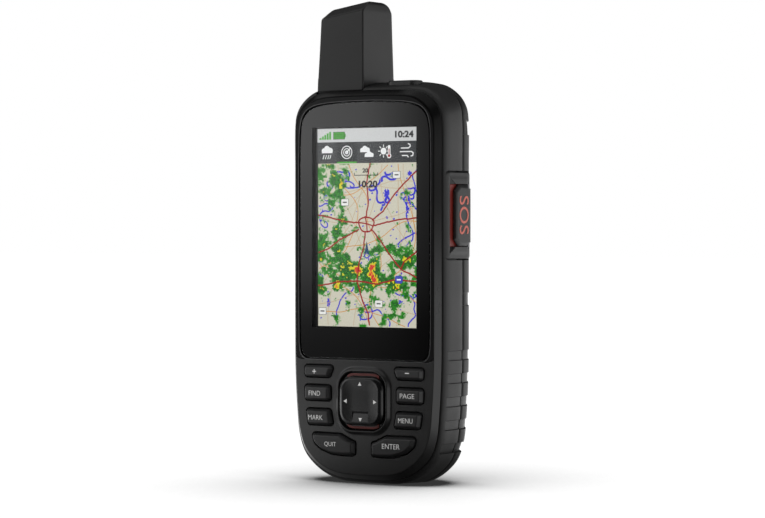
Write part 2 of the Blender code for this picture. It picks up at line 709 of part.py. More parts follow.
for _, sx, sz in SCREWS:
    add_stack(rear_boss_bm, "front", [(circle(sx, sz, 2.6, 10), 15.4), (circle(sx, sz, 2.6, 10), 23.4)])
for z in (64.0, 90.0):
    add_stack(rear_boss_bm, "front", [(circle(0.0, z, 2.6, 10), 21.6), (circle(0.0, z, 2.6, 10), 24.6)])
rear_bosses = finish(rear_boss_bm, "rear_bosses", None, Vector())
rear_keep = loft("rear_boss_limit", [ring(15.0, -1.2, -1.2, -1.0), ring(20.0, -2.6, -1.6, -1.4), ring(22.6, -4.6, -4.0, -3.6), ring(24.7, -8.0, -8.0, -7.5)])
boolean(rear_bosses, rear_keep, "INTERSECT")
boolean(rear, rear_bosses, "UNION")
rear_cuts = cutter(
    "rear_cuts",
    *(pin_stack("front", sx, sz, 1.35, 14.0, 30.0, 10) for _, sx, sz in SCREWS),
    *(pin_stack("front", 0.0, z, 1.35, 20.0, 30.0, 12) for z in (64.0, 90.0)),
    pin_stack("front", 3.0, 114.5, 2.6, 20.0, 30.0, 24),
    pin_stack("front", -11.0, 114.5, 0.8, 20.0, 30.0, 10),
    box_stack((-5.4, 5.4), (20.0, 30.0), (20.7, 26.6)),
)
rear_pockets = cutter(
    "rear_pockets",
    *(pin_stack("front", sx, sz, 2.55, 21.0, 30.0, 12) for _, sx, sz in SCREWS),
    pin_stack("front", 3.0, 114.5, 4.2, 23.4, 30.0, 24),
    ("front", [(rounded(rect(-8.6, 8.6, 18.8, 28.7), 1.6, 3), 24.75), (rounded(rect(-8.6, 8.6, 18.8, 28.7), 1.6, 3), 30.0)]),
)
usb_frame = cutter("usb_surround", ("front", [(rounded(rect(-10.0, 10.0, 17.4, 30.1), 2.4, 3), 21.6), (rounded(rect(-10.0, 10.0, 17.4, 30.1), 2.4, 3), 25.2)]))
flash_frame = cutter("flashlight_surround", pin_stack("front", 3.0, 114.5, 5.4, 22.2, 25.2, 24))
boolean(rear, usb_frame, "UNION")
boolean(rear, flash_frame, "UNION")
for tool in (rear_cuts, rear_pockets):
    boolean(rear, tool)
antenna_seat = loft("antenna_seat", [ant_section(1.3, lambda x, d: 129.4), ant_section(1.3, lambda x, d: 131.6), ant_section(0.9, lambda x, d: 132.2)])
boolean(antenna_seat, cutter("seat_limit", box_stack((-30, 5), (12.4, 24.0), (125.0, 140.0))), "INTERSECT")
boolean(rear, antenna_seat, "UNION")
ant_pocket_rear = loft("antenna_pocket_rear", [ant_section(GAP, lambda x, d: 131.6), ant_section(GAP, lambda x, d: 140.0)])
boolean(rear, ant_pocket_rear)
boolean(rear, sos_pocket)

# ---------------------------------------------------------------- screws
for place_name, sx, sz in SCREWS:
    screw = turned(
        "case_screw_" + place_name,
        "front",
        sx,
        sz,
        [(1.05, 8.0), (1.05, 21.3), (2.2, 21.3), (2.2, 22.5), (1.9, 22.9)],
        12,
        STEEL,
    )
    boolean(screw, cutter("recess_" + place_name, pin_stack("front", sx, sz, 0.95, 22.0, 24.0, 6)))
for place_name, sz in (("lower", 64.0), ("upper", 90.0)):
    screw = turned(
        "spine_screw_" + place_name,
        "front",
        0.0,
        sz,
        [(1.05, 22.0), (1.05, 28.7), (2.1, 28.7), (2.1, 29.7), (1.8, 30.0)],
        12,
        STEEL,
    )
    boolean(screw, cutter("spine_recess_" + place_name, pin_stack("front", 0.0, sz, 0.9, 29.2, 31.0, 6)))

# ---------------------------------------------------------------- mounting spine
spine = stack(
    "mounting_spine",
    "plan",
    [
        (
            [(-9.0, 26.1), (9.0, 26.1), (9.0, 27.2), (4.6, 27.6), (4.6, 28.9), (7.2, 28.9), (7.2, SPINE_OUT), (-7.2, SPINE_OUT), (-7.2, 28.9), (-4.6, 28.9), (-4.6, 27.6), (-9.0, 27.2)],
            h,
        )
        for h in (SPINE_Z0, SPINE_Z1)
    ],
    SHELL,
)
spine_ends = cutter(
    "spine_end_limit", ("front", [(rounded(rect(-9.0, 9.0, SPINE_Z0, SPINE_Z1), 4.5, 5), 25.0), (rounded(rect(-9.0, 9.0, SPINE_Z0, SPINE_Z1), 4.5, 5), 32.0)])
)
boolean(spine, spine_ends, "INTERSECT")
boolean(
    spine,
    cutter("spine_holes", *(pin_stack("front", 0.0, z, 1.35, 25.0, 32.0, 12) for z in (64.0, 90.0))),
)
boolean(
    spine,
    cutter("spine_counterbores", *(pin_stack("front", 0.0, z, 2.45, 28.4, 32.0, 16) for z in (64.0, 90.0))),
)

# ---------------------------------------------------------------- antenna
def ant_top(x, d):
    return 157.0 + 0.155 * (x + 19.6)


housing = loft(
    "antenna_housing",
    [
        ant_section(-1.6, lambda x, d: ANT_BASE + 22.8, (0.8, 0.0, 0.0, 1.2), rear=2.4, front=0.4),
        ant_section(-1.6, lambda x, d: ANT_BASE, rear=2.4, front=0.4),
        ant_section(0.0, lambda x, d: ANT_BASE),
        ant_section(0.0, lambda x, d: ant_top(x, d), (1.7, 0.1, 0.0, 1.6)),
        ant_section(0.0, lambda x, d: ant_top(x, d) + 1.3, (2.1, 0.7, 1.5, 2.6)),
        ant_section(0.0, lambda x, d: ant_top(x, d) + 2.5, (2.6, 1.5, 3.3, 4.4)),
        ant_section(0.0, lambda x, d: ant_top(x, d) + 3.15, (3.6, 2.8, 5.0, 6.6), rear=2.6, front=0.9),
    ],
    SHELL,
    fan_end=True,
)
gasket_outer = rounded(rect(ANT_LEFT + 0.3, ANT_RIGHT - 0.3, ANT_FRONT + 0.2, ANT_REAR - 0.3), [0.5, 0.5, 3.1, 3.1], 3)
antenna_seal = stack("antenna_seal", "plan", [(gasket_outer, 131.7), (gasket_outer, 132.1)], SEAL)
boolean(
    antenna_seal,
    cutter(
        "seal_hole",
        ("plan", [(rounded(rect(ANT_LEFT + 1.6, ANT_RIGHT - 1.6, ANT_FRONT + 1.5, ANT_REAR - 1.6), 2.0, 3), h) for h in (131.0, 133.0)]),
    ),
)
turned("antenna_core", "plan", -11.7, 9.5, [(5.6, 135.4), (5.6, 154.0), (4.8, 154.8)], 24, CERAMIC)

# ---------------------------------------------------------------- power button
power = stack(
    "power_button",
    "plan",
    [(power_shape, 132.4), (power_shape, 135.1), (grown(power_shape, -0.5), 135.4)],
    KEYS,
)
boolean(power, turned("power_stem", "plan", POWER_X, 6.4, [(1.2, 127.6), (1.2, 133.5)], 14), "UNION")

# ---------------------------------------------------------------- emergency key group
surround = stack(
    "sos_surround",
    "side",
    [
        (sos_outline, 28.95),
        (sos_outline, 30.1),
        (rounded(rect(SOS_D0 + 0.2, SOS_D1 - 0.2, SOS_Z0 + 0.1, SOS_Z1 - 0.1), 1.0, 2), 30.5),
        (rounded(rect(SOS_D0 + 1.2, SOS_D1 - 1.8, SOS_Z0 + 0.4, SOS_Z1 - 0.4), 1.0, 2), SOS_FACE),
    ],
    RUBBER,
)
room = [(3.1, 79.2), (13.6, 79.2), (13.6, 100.8), (3.1, 100.8)]
boolean(
    surround,
    cutter(
        "sos_room",
        ("side", [(room, 28.0), (room, 33.0)]),
    ),
)
boolean(surround, cutter("sos_hinge_room", box_stack((28.0, 33.0), (13.0, 15.9), (80.6, 99.4))))
boolean(surround, cutter("sos_pin_hole", pin_stack("plan", SOS_HINGE_X - 0.45, SOS_HINGE_D, 0.62, 79.0, 101.0, 12)))

HX, HD = SOS_HINGE_X - 0.45, SOS_HINGE_D
sos_button = block("sos_button", (29.45, 30.15), (3.45, 12.9), (79.6, 100.4), RED, at(29.8, 8.0, 90.0))
boolean(sos_button, cutter("sos_stem", box_stack((26.3, 29.8), (5.1, 7.3), (87.2, 92.8))), "UNION")
cap_shape = [(6.4, 82.4), (8.4, 79.7), (12.9, 79.7), (12.9, 100.3), (8.4, 100.3), (6.4, 97.6)]
cap = stack(
    "sos_cap",
    "side",
    [
        (cap_shape, 30.45),
        (cap_shape, 31.0),
        (grown(cap_shape, -0.5), 31.7),
        (grown(cap_shape, -0.9), 32.0),
    ],
    RUBBER,
    at(HX, HD, 90.0),
)
boolean(cap, turned("cap_barrel", "plan", HX, HD, [(1.05, 81.0), (1.05, 99.0)], 16), "UNION")
boolean(cap, cutter("cap_web", box_stack((30.5, 31.3), (12.0, HD), (81.0, 99.0))), "UNION")
boolean(cap, cutter("cap_pin_hole", pin_stack("plan", HX, HD, 0.6, 78.0, 102.0, 12)))
turned("sos_cap_pin", "plan", HX, HD, [(0.45, 79.3), (0.45, 100.7)], 12, STEEL)

# ---------------------------------------------------------------- usb weather cover
cover = stack(
    "usb_cover",
    "front",
    [
        (rounded(rect(-8.25, 8.25, 19.1, 28.35), 1.4, 3), 25.05),
        (rounded(rect(-8.25, 8.25, 19.1, 28.35), 1.4, 3), 26.0),
        (rounded(rect(-7.8, 7.8, 19.4, 27.9), 1.2, 3), 26.35),
    ],
    RUBBER,
    at(0.0, USB_HINGE_D, USB_HINGE_Z),
)
boolean(cover, cutter("cover_plug", box_stack((-4.9, 4.9), (22.9, 25.4), (21.2, 25.5))), "UNION")
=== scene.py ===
import json
import math
import random

import bmesh
import bpy
from mathutils import Matrix, Vector, noise


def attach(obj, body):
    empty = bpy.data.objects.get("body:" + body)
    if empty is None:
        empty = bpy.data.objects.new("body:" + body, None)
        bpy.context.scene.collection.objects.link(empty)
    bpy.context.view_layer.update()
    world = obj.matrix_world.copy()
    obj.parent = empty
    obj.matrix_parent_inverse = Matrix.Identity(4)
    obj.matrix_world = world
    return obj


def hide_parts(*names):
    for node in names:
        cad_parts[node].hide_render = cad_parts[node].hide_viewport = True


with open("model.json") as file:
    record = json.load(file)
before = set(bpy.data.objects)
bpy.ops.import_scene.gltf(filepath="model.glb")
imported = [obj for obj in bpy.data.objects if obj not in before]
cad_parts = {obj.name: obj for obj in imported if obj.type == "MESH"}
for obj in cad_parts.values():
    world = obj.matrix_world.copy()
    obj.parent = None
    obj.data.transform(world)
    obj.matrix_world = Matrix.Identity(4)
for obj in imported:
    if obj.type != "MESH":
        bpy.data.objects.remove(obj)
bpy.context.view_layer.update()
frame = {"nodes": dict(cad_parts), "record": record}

NODES = frame["nodes"]
SCENE = bpy.context.scene
COLL = SCENE.collection
MM = 0.001
D0 = 9.0  # depth of the frame's origin behind the display plane, in mm


def at(x, depth, z):
    return Vector((x * MM, (depth - D0) * MM, z * MM))


# ======================================================================= camera
cam_data = bpy.data.cameras.new("camera")
cam = bpy.data.objects.new("camera", cam_data)
COLL.objects.link(cam)
cam_data.sensor_width = 36.0
cam_data.lens = 128.3
cam_data.shift_y = -0.0412
cam_data.clip_start, cam_data.clip_end = 0.01, 20.0
cam.location = at(514.7, -759.7, 86.0)
cam.rotation_mode = "QUATERNION"
cam.rotation_quaternion = Vector((-0.5563, 0.8310, 0.0)).to_track_quat("-Z", "Y")
SCENE.camera = cam
SCENE.view_settings.view_transform = "Standard"
SCENE.view_settings.look = "None"

# ======================================================================= stage
world = bpy.data.worlds.new("studio")
SCENE.world = world
world.use_nodes = True
wn = world.node_tree
wn.nodes.clear()
w_out = wn.nodes.new("ShaderNodeOutputWorld")
w_mix = wn.nodes.new("ShaderNodeMixShader")
w_path = wn.nodes.new("ShaderNodeLightPath")
w_fill = wn.nodes.new("ShaderNodeBackground")
w_back = wn.nodes.new("ShaderNodeBackground")
w_fill.inputs[0].default_value = (1.0, 1.0, 1.0, 1.0)
w_fill.inputs[1].default_value = 0.03
w_back.inputs[0].default_value = (1.0, 1.0, 1.0, 1.0)
w_back.inputs[1].default_value = 1.0
wn.links.new(w_path.outputs["Is Camera Ray"], w_mix.inputs[0])
wn.links.new(w_fill.outputs[0], w_mix.inputs[1])
wn.links.new(w_back.outputs[0], w_mix.inputs[2])
wn.links.new(w_mix.outputs[0], w_out.inputs[0])


def area(name, where, aim, size, radiance, size_y=None):
    """A soft light of a given brightness, whatever its size."""
    data = bpy.data.lights.new(name, "AREA")
    data.shape = "RECTANGLE"
    data.size = size
    data.size_y = size_y or size
    data.energy = radiance * math.pi * data.size * data.size_y
    obj = bpy.data.objects.new(name, data)
    COLL.objects.link(obj)
    obj.location = where
    obj.rotation_mode = "QUATERNION"
    obj.rotation_quaternion = (Vector(aim) - Vector(where)).to_track_quat("-Z", "Y")
    obj.visible_camera = False
    return obj


area("right_card", (0.60, 0.35, 0.17), (0.0, 0.35, 0.17), 1.6, 0.46, 0.46)
area("rear_card", (0.45, 1.20, 0.20), (0.45, 0.0, 0.20), 1.1, 0.42, 0.46)
area("overhead", (0.0, 0.0, 1.1), (0.0, 0.0, 0.0), 1.2, 0.56)
area("upper_left", (-0.50, 0.014, 0.733), (0.0, 0.0, 0.08), 0.3, 1.0)


def ramp(value, pairs):
    if value <= pairs[0][0]:
        return pairs[0][1]
    for (a, u), (b, v) in zip(pairs, pairs[1:]):
        if value <= b:
            return u + (v - u) * (value - a) / (b - a)
    return pairs[-1][1]


def card(name, centre, along, reach, height, level, across, upright, steps=(66, 40)):
    """A lit card whose brightness falls off along its length and its height."""
    c, t = Vector(centre), Vector(along).normalized()
    bm = bmesh.new()
    layer = bm.verts.layers.float.new("glow")
    rows = []
    for j in range(steps[1] + 1):
        z = height[0] + (height[1] - height[0]) * j / steps[1]
        row = []
        for i in range(steps[0] + 1):
            q = reach[0] + (reach[1] - reach[0]) * i / steps[0]
            v = bm.verts.new((c.x + t.x * q * MM, c.y + t.y * q * MM, z * MM))
            v[layer] = level * ramp(q, across) * ramp(z, upright)
            row.append(v)
        rows.append(row)
    for a, b in zip(rows, rows[1:]):
        for i in range(steps[0]):
            bm.faces.new((a[i], a[i + 1], b[i + 1], b[i]))
    mesh = bpy.data.meshes.new(name)
    bm.to_mesh(mesh)
    bm.free()
    obj = bpy.data.objects.new(name, mesh)
    COLL.objects.link(obj)
    mat = bpy.data.materials.new(name)
    mat.use_nodes = True
    nt = mat.node_tree
    nt.nodes.clear()
    out = nt.nodes.new("ShaderNodeOutputMaterial")
    glow = nt.nodes.new("ShaderNodeEmission")
    attr = nt.nodes.new("ShaderNodeAttribute")
    attr.attribute_name = "glow"
    nt.links.new(attr.outputs["Fac"], glow.inputs["Strength"])
    nt.links.new(glow.outputs[0], out.inputs[0])
    mesh.materials.append(mat)
    obj.visible_camera = False
    obj.visible_shadow = False
    return obj


card("left_card", (-0.196, -0.30, 0.0), (-0.829, 0.559, 0.0), (-50, 320), (15, 360), 1.8,
     [(-46, 0.0), (-29, 0.22), (-24, 0.31), (0, 0.82), (31, 1.0)],
     [(15, 0.08), (32, 0.11), (42, 0.14), (71, 0.50), (99, 0.76), (122, 1.0), (141, 0.96), (360, 0.85)])

floor_mesh = bpy.data.meshes.new("floor")
floor_mesh.from_pydata([(-6, -6, -0.0001), (6, -6, -0.0001), (6, 6, -0.0001), (-6, 6, -0.0001)], [], [(0, 1, 2, 3)])
floor = bpy.data.objects.new("floor", floor_mesh)
COLL.objects.link(floor)
fm = bpy.data.materials.new("floor_paper")
fm.use_nodes = True
ft = fm.node_tree
ft.nodes.clear()
f_out = ft.nodes.new("ShaderNodeOutputMaterial")
f_path = ft.nodes.new("ShaderNodeLightPath")
f_pick = ft.nodes.new("ShaderNodeMixShader")
# What the camera sees of the floor is emission, dimmed near the object by ambient occlusion. Its contact shadow is made
# by the emission strength, not cast by the lamps.
f_paper = ft.nodes.new("ShaderNodeEmission")
f_ao = ft.nodes.new("ShaderNodeAmbientOcclusion")
f_ao.samples = 16
f_ao.inputs["Distance"].default_value = 0.16
f_tone = ft.nodes.new("ShaderNodeMapRange")
f_tone.inputs["From Min"].default_value = 0.44
f_tone.inputs["From Max"].default_value = 0.95
f_tone.inputs["To Min"].default_value = 0.035
f_tone.inputs["To Max"].default_value = 1.08
ft.links.new(f_ao.outputs["AO"], f_tone.inputs["Value"])
ft.links.new(f_tone.outputs[0], f_paper.inputs["Strength"])
# What the object sees of the floor: bright to its left and behind it, dark in front on the right.
f_glow = ft.nodes.new("ShaderNodeEmission")
f_co = ft.nodes.new("ShaderNodeTexCoord")
f_dot = ft.nodes.new("ShaderNodeVectorMath")
f_dot.operation = "DOT_PRODUCT"
f_dot.inputs[1].default_value = (-0.829, 0.559, 0.0)
f_len = ft.nodes.new("ShaderNodeVectorMath")
f_len.operation = "LENGTH"
f_side = ft.nodes.new("ShaderNodeVectorMath")
f_side.operation = "DOT_PRODUCT"
f_side.inputs[1].default_value = (0.9, 0.44, 0.0)
f_left = ft.nodes.new("ShaderNodeMapRange")
f_back = ft.nodes.new("ShaderNodeMapRange")
f_near = ft.nodes.new("ShaderNodeMapRange")
for node, values in ((f_left, (-0.022, 0.034, 0.05, 1.85)), (f_back, (0.0, 0.06, 0.0, 1.35)), (f_near, (0.03, 0.13, 0.15, 1.06))):
    for socket, value in zip(("From Min", "From Max", "To Min", "To Max"), values):
        node.inputs[socket].default_value = value
f_most = ft.nodes.new("ShaderNodeMath")
f_most.operation = "MAXIMUM"
f_level = ft.nodes.new("ShaderNodeMath")
f_level.operation = "MULTIPLY"
ft.links.new(f_co.outputs["Object"], f_dot.inputs[0])
ft.links.new(f_co.outputs["Object"], f_len.inputs[0])
ft.links.new(f_co.outputs["Object"], f_side.inputs[0])
ft.links.new(f_dot.outputs["Value"], f_left.inputs["Value"])
ft.links.new(f_side.outputs["Value"], f_back.inputs["Value"])
ft.links.new(f_len.outputs["Value"], f_near.inputs["Value"])
ft.links.new(f_left.outputs[0], f_most.inputs[0])
ft.links.new(f_back.outputs[0], f_most.inputs[1])
ft.links.new(f_most.outputs[0], f_level.inputs[0])
ft.links.new(f_near.outputs[0], f_level.inputs[1])
ft.links.new(f_level.outputs[0], f_glow.inputs["Strength"])
ft.links.new(f_path.outputs["Is Camera Ray"], f_pick.inputs[0])
ft.links.new(f_glow.outputs[0], f_pick.inputs[1])
ft.links.new(f_paper.outputs[0], f_pick.inputs[2])
ft.links.new(f_pick.outputs[0], f_out.inputs[0])
floor_mesh.materials.append(fm)


# ======================================================================= materials
def bsdf_of(mat):
    return next(n for n in mat.node_tree.nodes if n.type == "BSDF_PRINCIPLED")


def moulded(name, colour, rough, grain=0.35, depth=0.02, spread=0.10, spec=0.5, coat=0.0, coat_rough=0.1,
            metallic=0.0, tint=0.12, streak=None):
    """Moulded or painted surface: fine grain, slow variation in gloss and tone."""
    mat = bpy.data.materials.new(name)
    mat.use_nodes = True
    nt = mat.node_tree
    b = bsdf_of(mat)
    coord = nt.nodes.new("ShaderNodeTexCoord")
    fine = nt.nodes.new("ShaderNodeTexNoise")
    fine.inputs["Scale"].default_value = 1000.0 / grain
    fine.inputs["Detail"].default_value = 3.0
    fine.inputs["Roughness"].default_value = 0.55
    slow = nt.nodes.new("ShaderNodeTexNoise")
    slow.inputs["Scale"].default_value = 55.0
    slow.inputs["Detail"].default_value = 4.0
    source = coord.outputs["Object"]
    if streak:
        mapping = nt.nodes.new("ShaderNodeMapping")
        mapping.inputs["Scale"].default_value = streak
        nt.links.new(source, mapping.inputs[0])
        nt.links.new(mapping.outputs[0], fine.inputs["Vector"])
    else:
        nt.links.new(source, fine.inputs["Vector"])
    nt.links.new(source, slow.inputs["Vector"])
    rng = nt.nodes.new("ShaderNodeMapRange")
    rng.inputs["From Min"].default_value = 0.3
    rng.inputs["From Max"].default_value = 0.7
    rng.inputs["To Min"].default_value = max(rough - spread, 0.02)
    rng.inputs["To Max"].default_value = min(rough + spread, 1.0)
    blend = nt.nodes.new("ShaderNodeMath")
    blend.operation = "MULTIPLY_ADD"
    blend.inputs[1].default_value = 0.35
    nt.links.new(fine.outputs["Fac"], blend.inputs[0])
    half = nt.nodes.new("ShaderNodeMath")
    half.operation = "MULTIPLY"
    half.inputs[1].default_value = 0.65
    nt.links.new(slow.outputs["Fac"], half.inputs[0])
    nt.links.new(half.outputs[0], blend.inputs[2])
    nt.links.new(blend.outputs[0], rng.inputs["Value"])
    nt.links.new(rng.outputs[0], b.inputs["Roughness"])
    ramp = nt.nodes.new("ShaderNodeValToRGB")
    ramp.color_ramp.elements[0].position = 0.3
    ramp.color_ramp.elements[1].position = 0.7
    ramp.color_ramp.elements[0].color = (*[c * (1 - tint) for c in colour], 1)
    ramp.color_ramp.elements[1].color = (*[min(c * (1 + tint), 1) for c in colour], 1)
    nt.links.new(blend.outputs[0], ramp.inputs[0])
    nt.links.new(ramp.outputs[0], b.inputs["Base Color"])
    if depth:
        bump = nt.nodes.new("ShaderNodeBump")
        bump.inputs["Strength"].default_value = 0.6
        bump.inputs["Distance"].default_value = depth * MM
        nt.links.new(fine.outputs["Fac"], bump.inputs["Height"])
        nt.links.new(bump.outputs[0], b.inputs["Normal"])
    b.inputs["Metallic"].default_value = metallic
    b.inputs["Specular IOR Level"].default_value = spec
    if coat:
        b.inputs["Coat Weight"].default_value = coat
        b.inputs["Coat Roughness"].default_value = coat_rough
    return mat


def glowing(name, colour, strength=1.0, cell=0.5, vary=0.04):
    """One colour of the lit display, with the slight unevenness of a backlight."""
    mat = bpy.data.materials.new(name)
    mat.use_nodes = True
    nt = mat.node_tree
    b = bsdf_of(mat)
    b.inputs["Base Color"].default_value = (0.01, 0.01, 0.01, 1)
    b.inputs["Roughness"].default_value = 0.35
    b.inputs["Specular IOR Level"].default_value = 0.2
    coord = nt.nodes.new("ShaderNodeTexCoord")
    tex = nt.nodes.new("ShaderNodeTexNoise")
    tex.inputs["Scale"].default_value = 1000.0 / cell
    tex.inputs["Detail"].default_value = 2.0
    nt.links.new(coord.outputs["Object"], tex.inputs["Vector"])
    ramp = nt.nodes.new("ShaderNodeValToRGB")
    ramp.color_ramp.elements[0].position = 0.35
    ramp.color_ramp.elements[1].position = 0.65
    ramp.color_ramp.elements[0].color = (*[c * (1 - vary) for c in colour], 1)
    ramp.color_ramp.elements[1].color = (*[min(c * (1 + vary), 1.0) for c in colour], 1)
    nt.links.new(tex.outputs["Fac"], ramp.inputs[0])
    nt.links.new(ramp.outputs[0], b.inputs["Emission Color"])
    b.inputs["Emission Strength"].default_value = strength
    return mat


def srgb(r, g, b):
    def one(v):
        v /= 255.0
        return v / 12.92 if v <= 0.04045 else ((v + 0.055) / 1.055) ** 2.4
    return (one(r), one(g), one(b))


SHELL = moulded("shell_plastic", (0.022, 0.022, 0.022), 0.42, grain=0.30, depth=0.010, spread=0.06)
FRAME = moulded("front_frame_plastic_painted_top_shade", (0.020, 0.020, 0.020), 0.30, grain=0.26, depth=0.006, spread=0.05)
RUBBER = moulded("grip_rubber", (0.025, 0.025, 0.025), 0.52, grain=0.40, depth=0.018, spread=0.08, spec=0.45)
REAR = moulded("rear_shell_plastic", (0.019, 0.019, 0.019), 0.50, grain=0.38, depth=0.016, spread=0.07, spec=0.42)
ANT = moulded("antenna_plastic", (0.010, 0.010, 0.010), 0.42, grain=0.34, depth=0.010, spread=0.05, spec=0.4)
# Painted shade on the frame: its base colour is darkened from 56 mm up to 100 mm, and its specular level is lowered
# there too, dimming its reflections. The upper part reads darker because of how light falls on it, not because of its
# real colour.
ft_tree = FRAME.node_tree
fb = bsdf_of(FRAME)
ft_co = ft_tree.nodes.new("ShaderNodeTexCoord")
ft_xyz = ft_tree.nodes.new("ShaderNodeSeparateXYZ")
ft_tree.links.new(ft_co.outputs["Object"], ft_xyz.inputs[0])
ft_reflection_dimming = ft_tree.nodes.new("ShaderNodeMapRange")
ft_reflection_dimming.interpolation_type = "SMOOTHSTEP"
for socket, value in (("From Min", 0.056), ("From Max", 0.100), ("To Min", 0.5), ("To Max", 0.16)):
    ft_reflection_dimming.inputs[socket].default_value = value
ft_tree.links.new(ft_xyz.outputs["Z"], ft_reflection_dimming.inputs["Value"])
ft_tree.links.new(ft_reflection_dimming.outputs[0], fb.inputs["Specular IOR Level"])
ft_painted_top_shade = ft_tree.nodes.new("ShaderNodeMixRGB")
ft_painted_top_shade.blend_type = "MULTIPLY"
ft_painted_top_shade.inputs[0].default_value = 1.0
ft_tree.links.new(fb.inputs["Base Color"].links[0].from_socket, ft_painted_top_shade.inputs[1])
ft_top_shade_amount = ft_tree.nodes.new("ShaderNodeMapRange")
ft_top_shade_amount.interpolation_type = "SMOOTHSTEP"
for socket, value in (("From Min", 0.056), ("From Max", 0.100), ("To Min", 1.0), ("To Max", 0.28)):
    ft_top_shade_amount.inputs[socket].default_value = value
ft_tree.links.new(ft_xyz.outputs["Z"], ft_top_shade_amount.inputs["Value"])
ft_tree.links.new(ft_top_shade_amount.outputs[0], ft_painted_top_shade.inputs[2])
ft_tree.links.new(ft_painted_top_shade.outputs[0], fb.inputs["Base Color"])
GLOSS = moulded("gloss_black", (0.005, 0.005, 0.0052), 0.14, grain=1.5, depth=0.001, spread=0.03)
KEYMAT = moulded("key_rubber", (0.026, 0.026, 0.0265), 0.44, grain=0.22, depth=0.007, spread=0.06, spec=0.5)
PAD = moulded("rocker_pad_plastic", (0.009, 0.009, 0.0095), 0.22, grain=0.8, depth=0.0015, spread=0.04)
PRINTM = moulded("printed_glass", (0.0025, 0.0025, 0.0027), 0.05, grain=2.0, depth=0.0, spread=0.02, spec=0.53, tint=0.04)
# Mid grey, much lighter than the frame: a painted highlight for the thin bright line along the lens's edge.
EDGE_HIGHLIGHT_GREY = moulded("lens_edge_painted_highlight", (0.08, 0.08, 0.081), 0.30, grain=0.4, depth=0.002, spread=0.04, spec=0.5)
TRIMM = moulded("lens_trim_black", (0.004, 0.004, 0.0042), 0.34, grain=0.4, depth=0.002, spread=0.04, spec=0.16)
RED = moulded("alert_red", (0.17, 0.016, 0.011), 0.42, grain=0.3, depth=0.006, spread=0.07)
SOSRED = moulded("legend_red", (0.62, 0.13, 0.09), 0.45, grain=0.2, depth=0.003, spread=0.06)
SEAL = moulded("seal_rubber", (0.010, 0.010, 0.010), 0.8, grain=0.5, depth=0.01)
STEEL = moulded("screw_steel", (0.16, 0.16, 0.17), 0.34, grain=0.25, depth=0.004, metallic=1.0, spread=0.1)
TIN = moulded("shield_tin", (0.55, 0.55, 0.54), 0.3, grain=0.6, depth=0.004, metallic=1.0, spread=0.08, streak=(1, 1, 0.1))
BOARDM = moulded("circuit_board", (0.015, 0.11, 0.05), 0.42, grain=0.5, depth=0.01, tint=0.25)
CELLM = moulded("battery_wrap", (0.10, 0.11, 0.13), 0.36, grain=1.2, depth=0.02)
SILIC = moulded("silicone", (0.22, 0.22, 0.23), 0.7, grain=0.5, depth=0.01)
CERAM = moulded("ceramic", (0.6, 0.55, 0.45), 0.6, grain=0.3, depth=0.01)
JACKET = moulded("lead_jacket", (0.04, 0.04, 0.04), 0.5, grain=0.4, depth=0.01)
COMPO = moulded("component_plastic", (0.025, 0.025, 0.025), 0.5, grain=0.3, depth=0.01)
LEGEND = moulded("legend_white_painted_glow", (0.74, 0.74, 0.73), 0.5, grain=0.15, depth=0.003, spread=0.06, tint=0.06)
# The white print is given a faint emission: a painted glow that makes it brighter than the lamps alone would.
bsdf_of(LEGEND).inputs["Emission Color"].default_value = (1.0, 1.0, 0.98, 1)
bsdf_of(LEGEND).inputs["Emission Strength"].default_value = 0.24

pipe = moulded("light_pipe", (0.85, 0.86, 0.84), 0.12, grain=0.8, depth=0.004, spread=0.05)
bsdf_of(pipe).inputs["Transmission Weight"].default_value = 0.85
PIPE = pipe

lens_mat = bpy.data.materials.new("cover_glass")
lens_mat.use_nodes = True
lt = lens_mat.node_tree
lt.nodes.clear()
l_out = lt.nodes.new("ShaderNodeOutputMaterial")
l_mix = lt.nodes.new("ShaderNodeMixShader")
l_tr = lt.nodes.new("ShaderNodeBsdfTransparent")
l_gl = lt.nodes.new("ShaderNodeBsdfGlossy")
l_lw = lt.nodes.new("ShaderNodeLayerWeight")
l_lw.inputs["Blend"].default_value = 0.5
l_pw = lt.nodes.new("ShaderNodeMath")
l_pw.operation = "POWER"
l_pw.inputs[1].default_value = 5.0
l_fr = lt.nodes.new("ShaderNodeMath")
l_fr.operation = "MULTIPLY_ADD"
l_fr.inputs[1].default_value = 0.9
l_co = lt.nodes.new("ShaderNodeTexCoord")
l_no = lt.nodes.new("ShaderNodeTexNoise")
l_mr = lt.nodes.new("ShaderNodeMapRange")
l_tr.inputs[0].default_value = (0.97, 0.975, 0.98, 1)
l_fr.inputs[2].default_value = 0.025
lt.links.new(l_lw.outputs["Facing"], l_pw.inputs[0])
lt.links.new(l_pw.outputs[0], l_fr.inputs[0])
l_no.inputs["Scale"].default_value = 60.0
l_no.inputs["Detail"].default_value = 3.0
l_mr.inputs["To Min"].default_value = 0.03
l_mr.inputs["To Max"].default_value = 0.07
lt.links.new(l_co.outputs["Object"], l_no.inputs["Vector"])
lt.links.new(l_no.outputs["Fac"], l_mr.inputs["Value"])
lt.links.new(l_mr.outputs[0], l_gl.inputs["Roughness"])
lt.links.new(l_fr.outputs[0], l_mix.inputs[0])
lt.links.new(l_tr.outputs[0], l_mix.inputs[1])
lt.links.new(l_gl.outputs[0], l_mix.inputs[2])
lt.links.new(l_mix.outputs[0], l_out.inputs[0])
LENSM = lens_mat
MASK = moulded("printed_border", (0.0025, 0.0025, 0.0027), 0.5, grain=0.6, depth=0.0, spread=0.02, spec=0.06, tint=0.04)

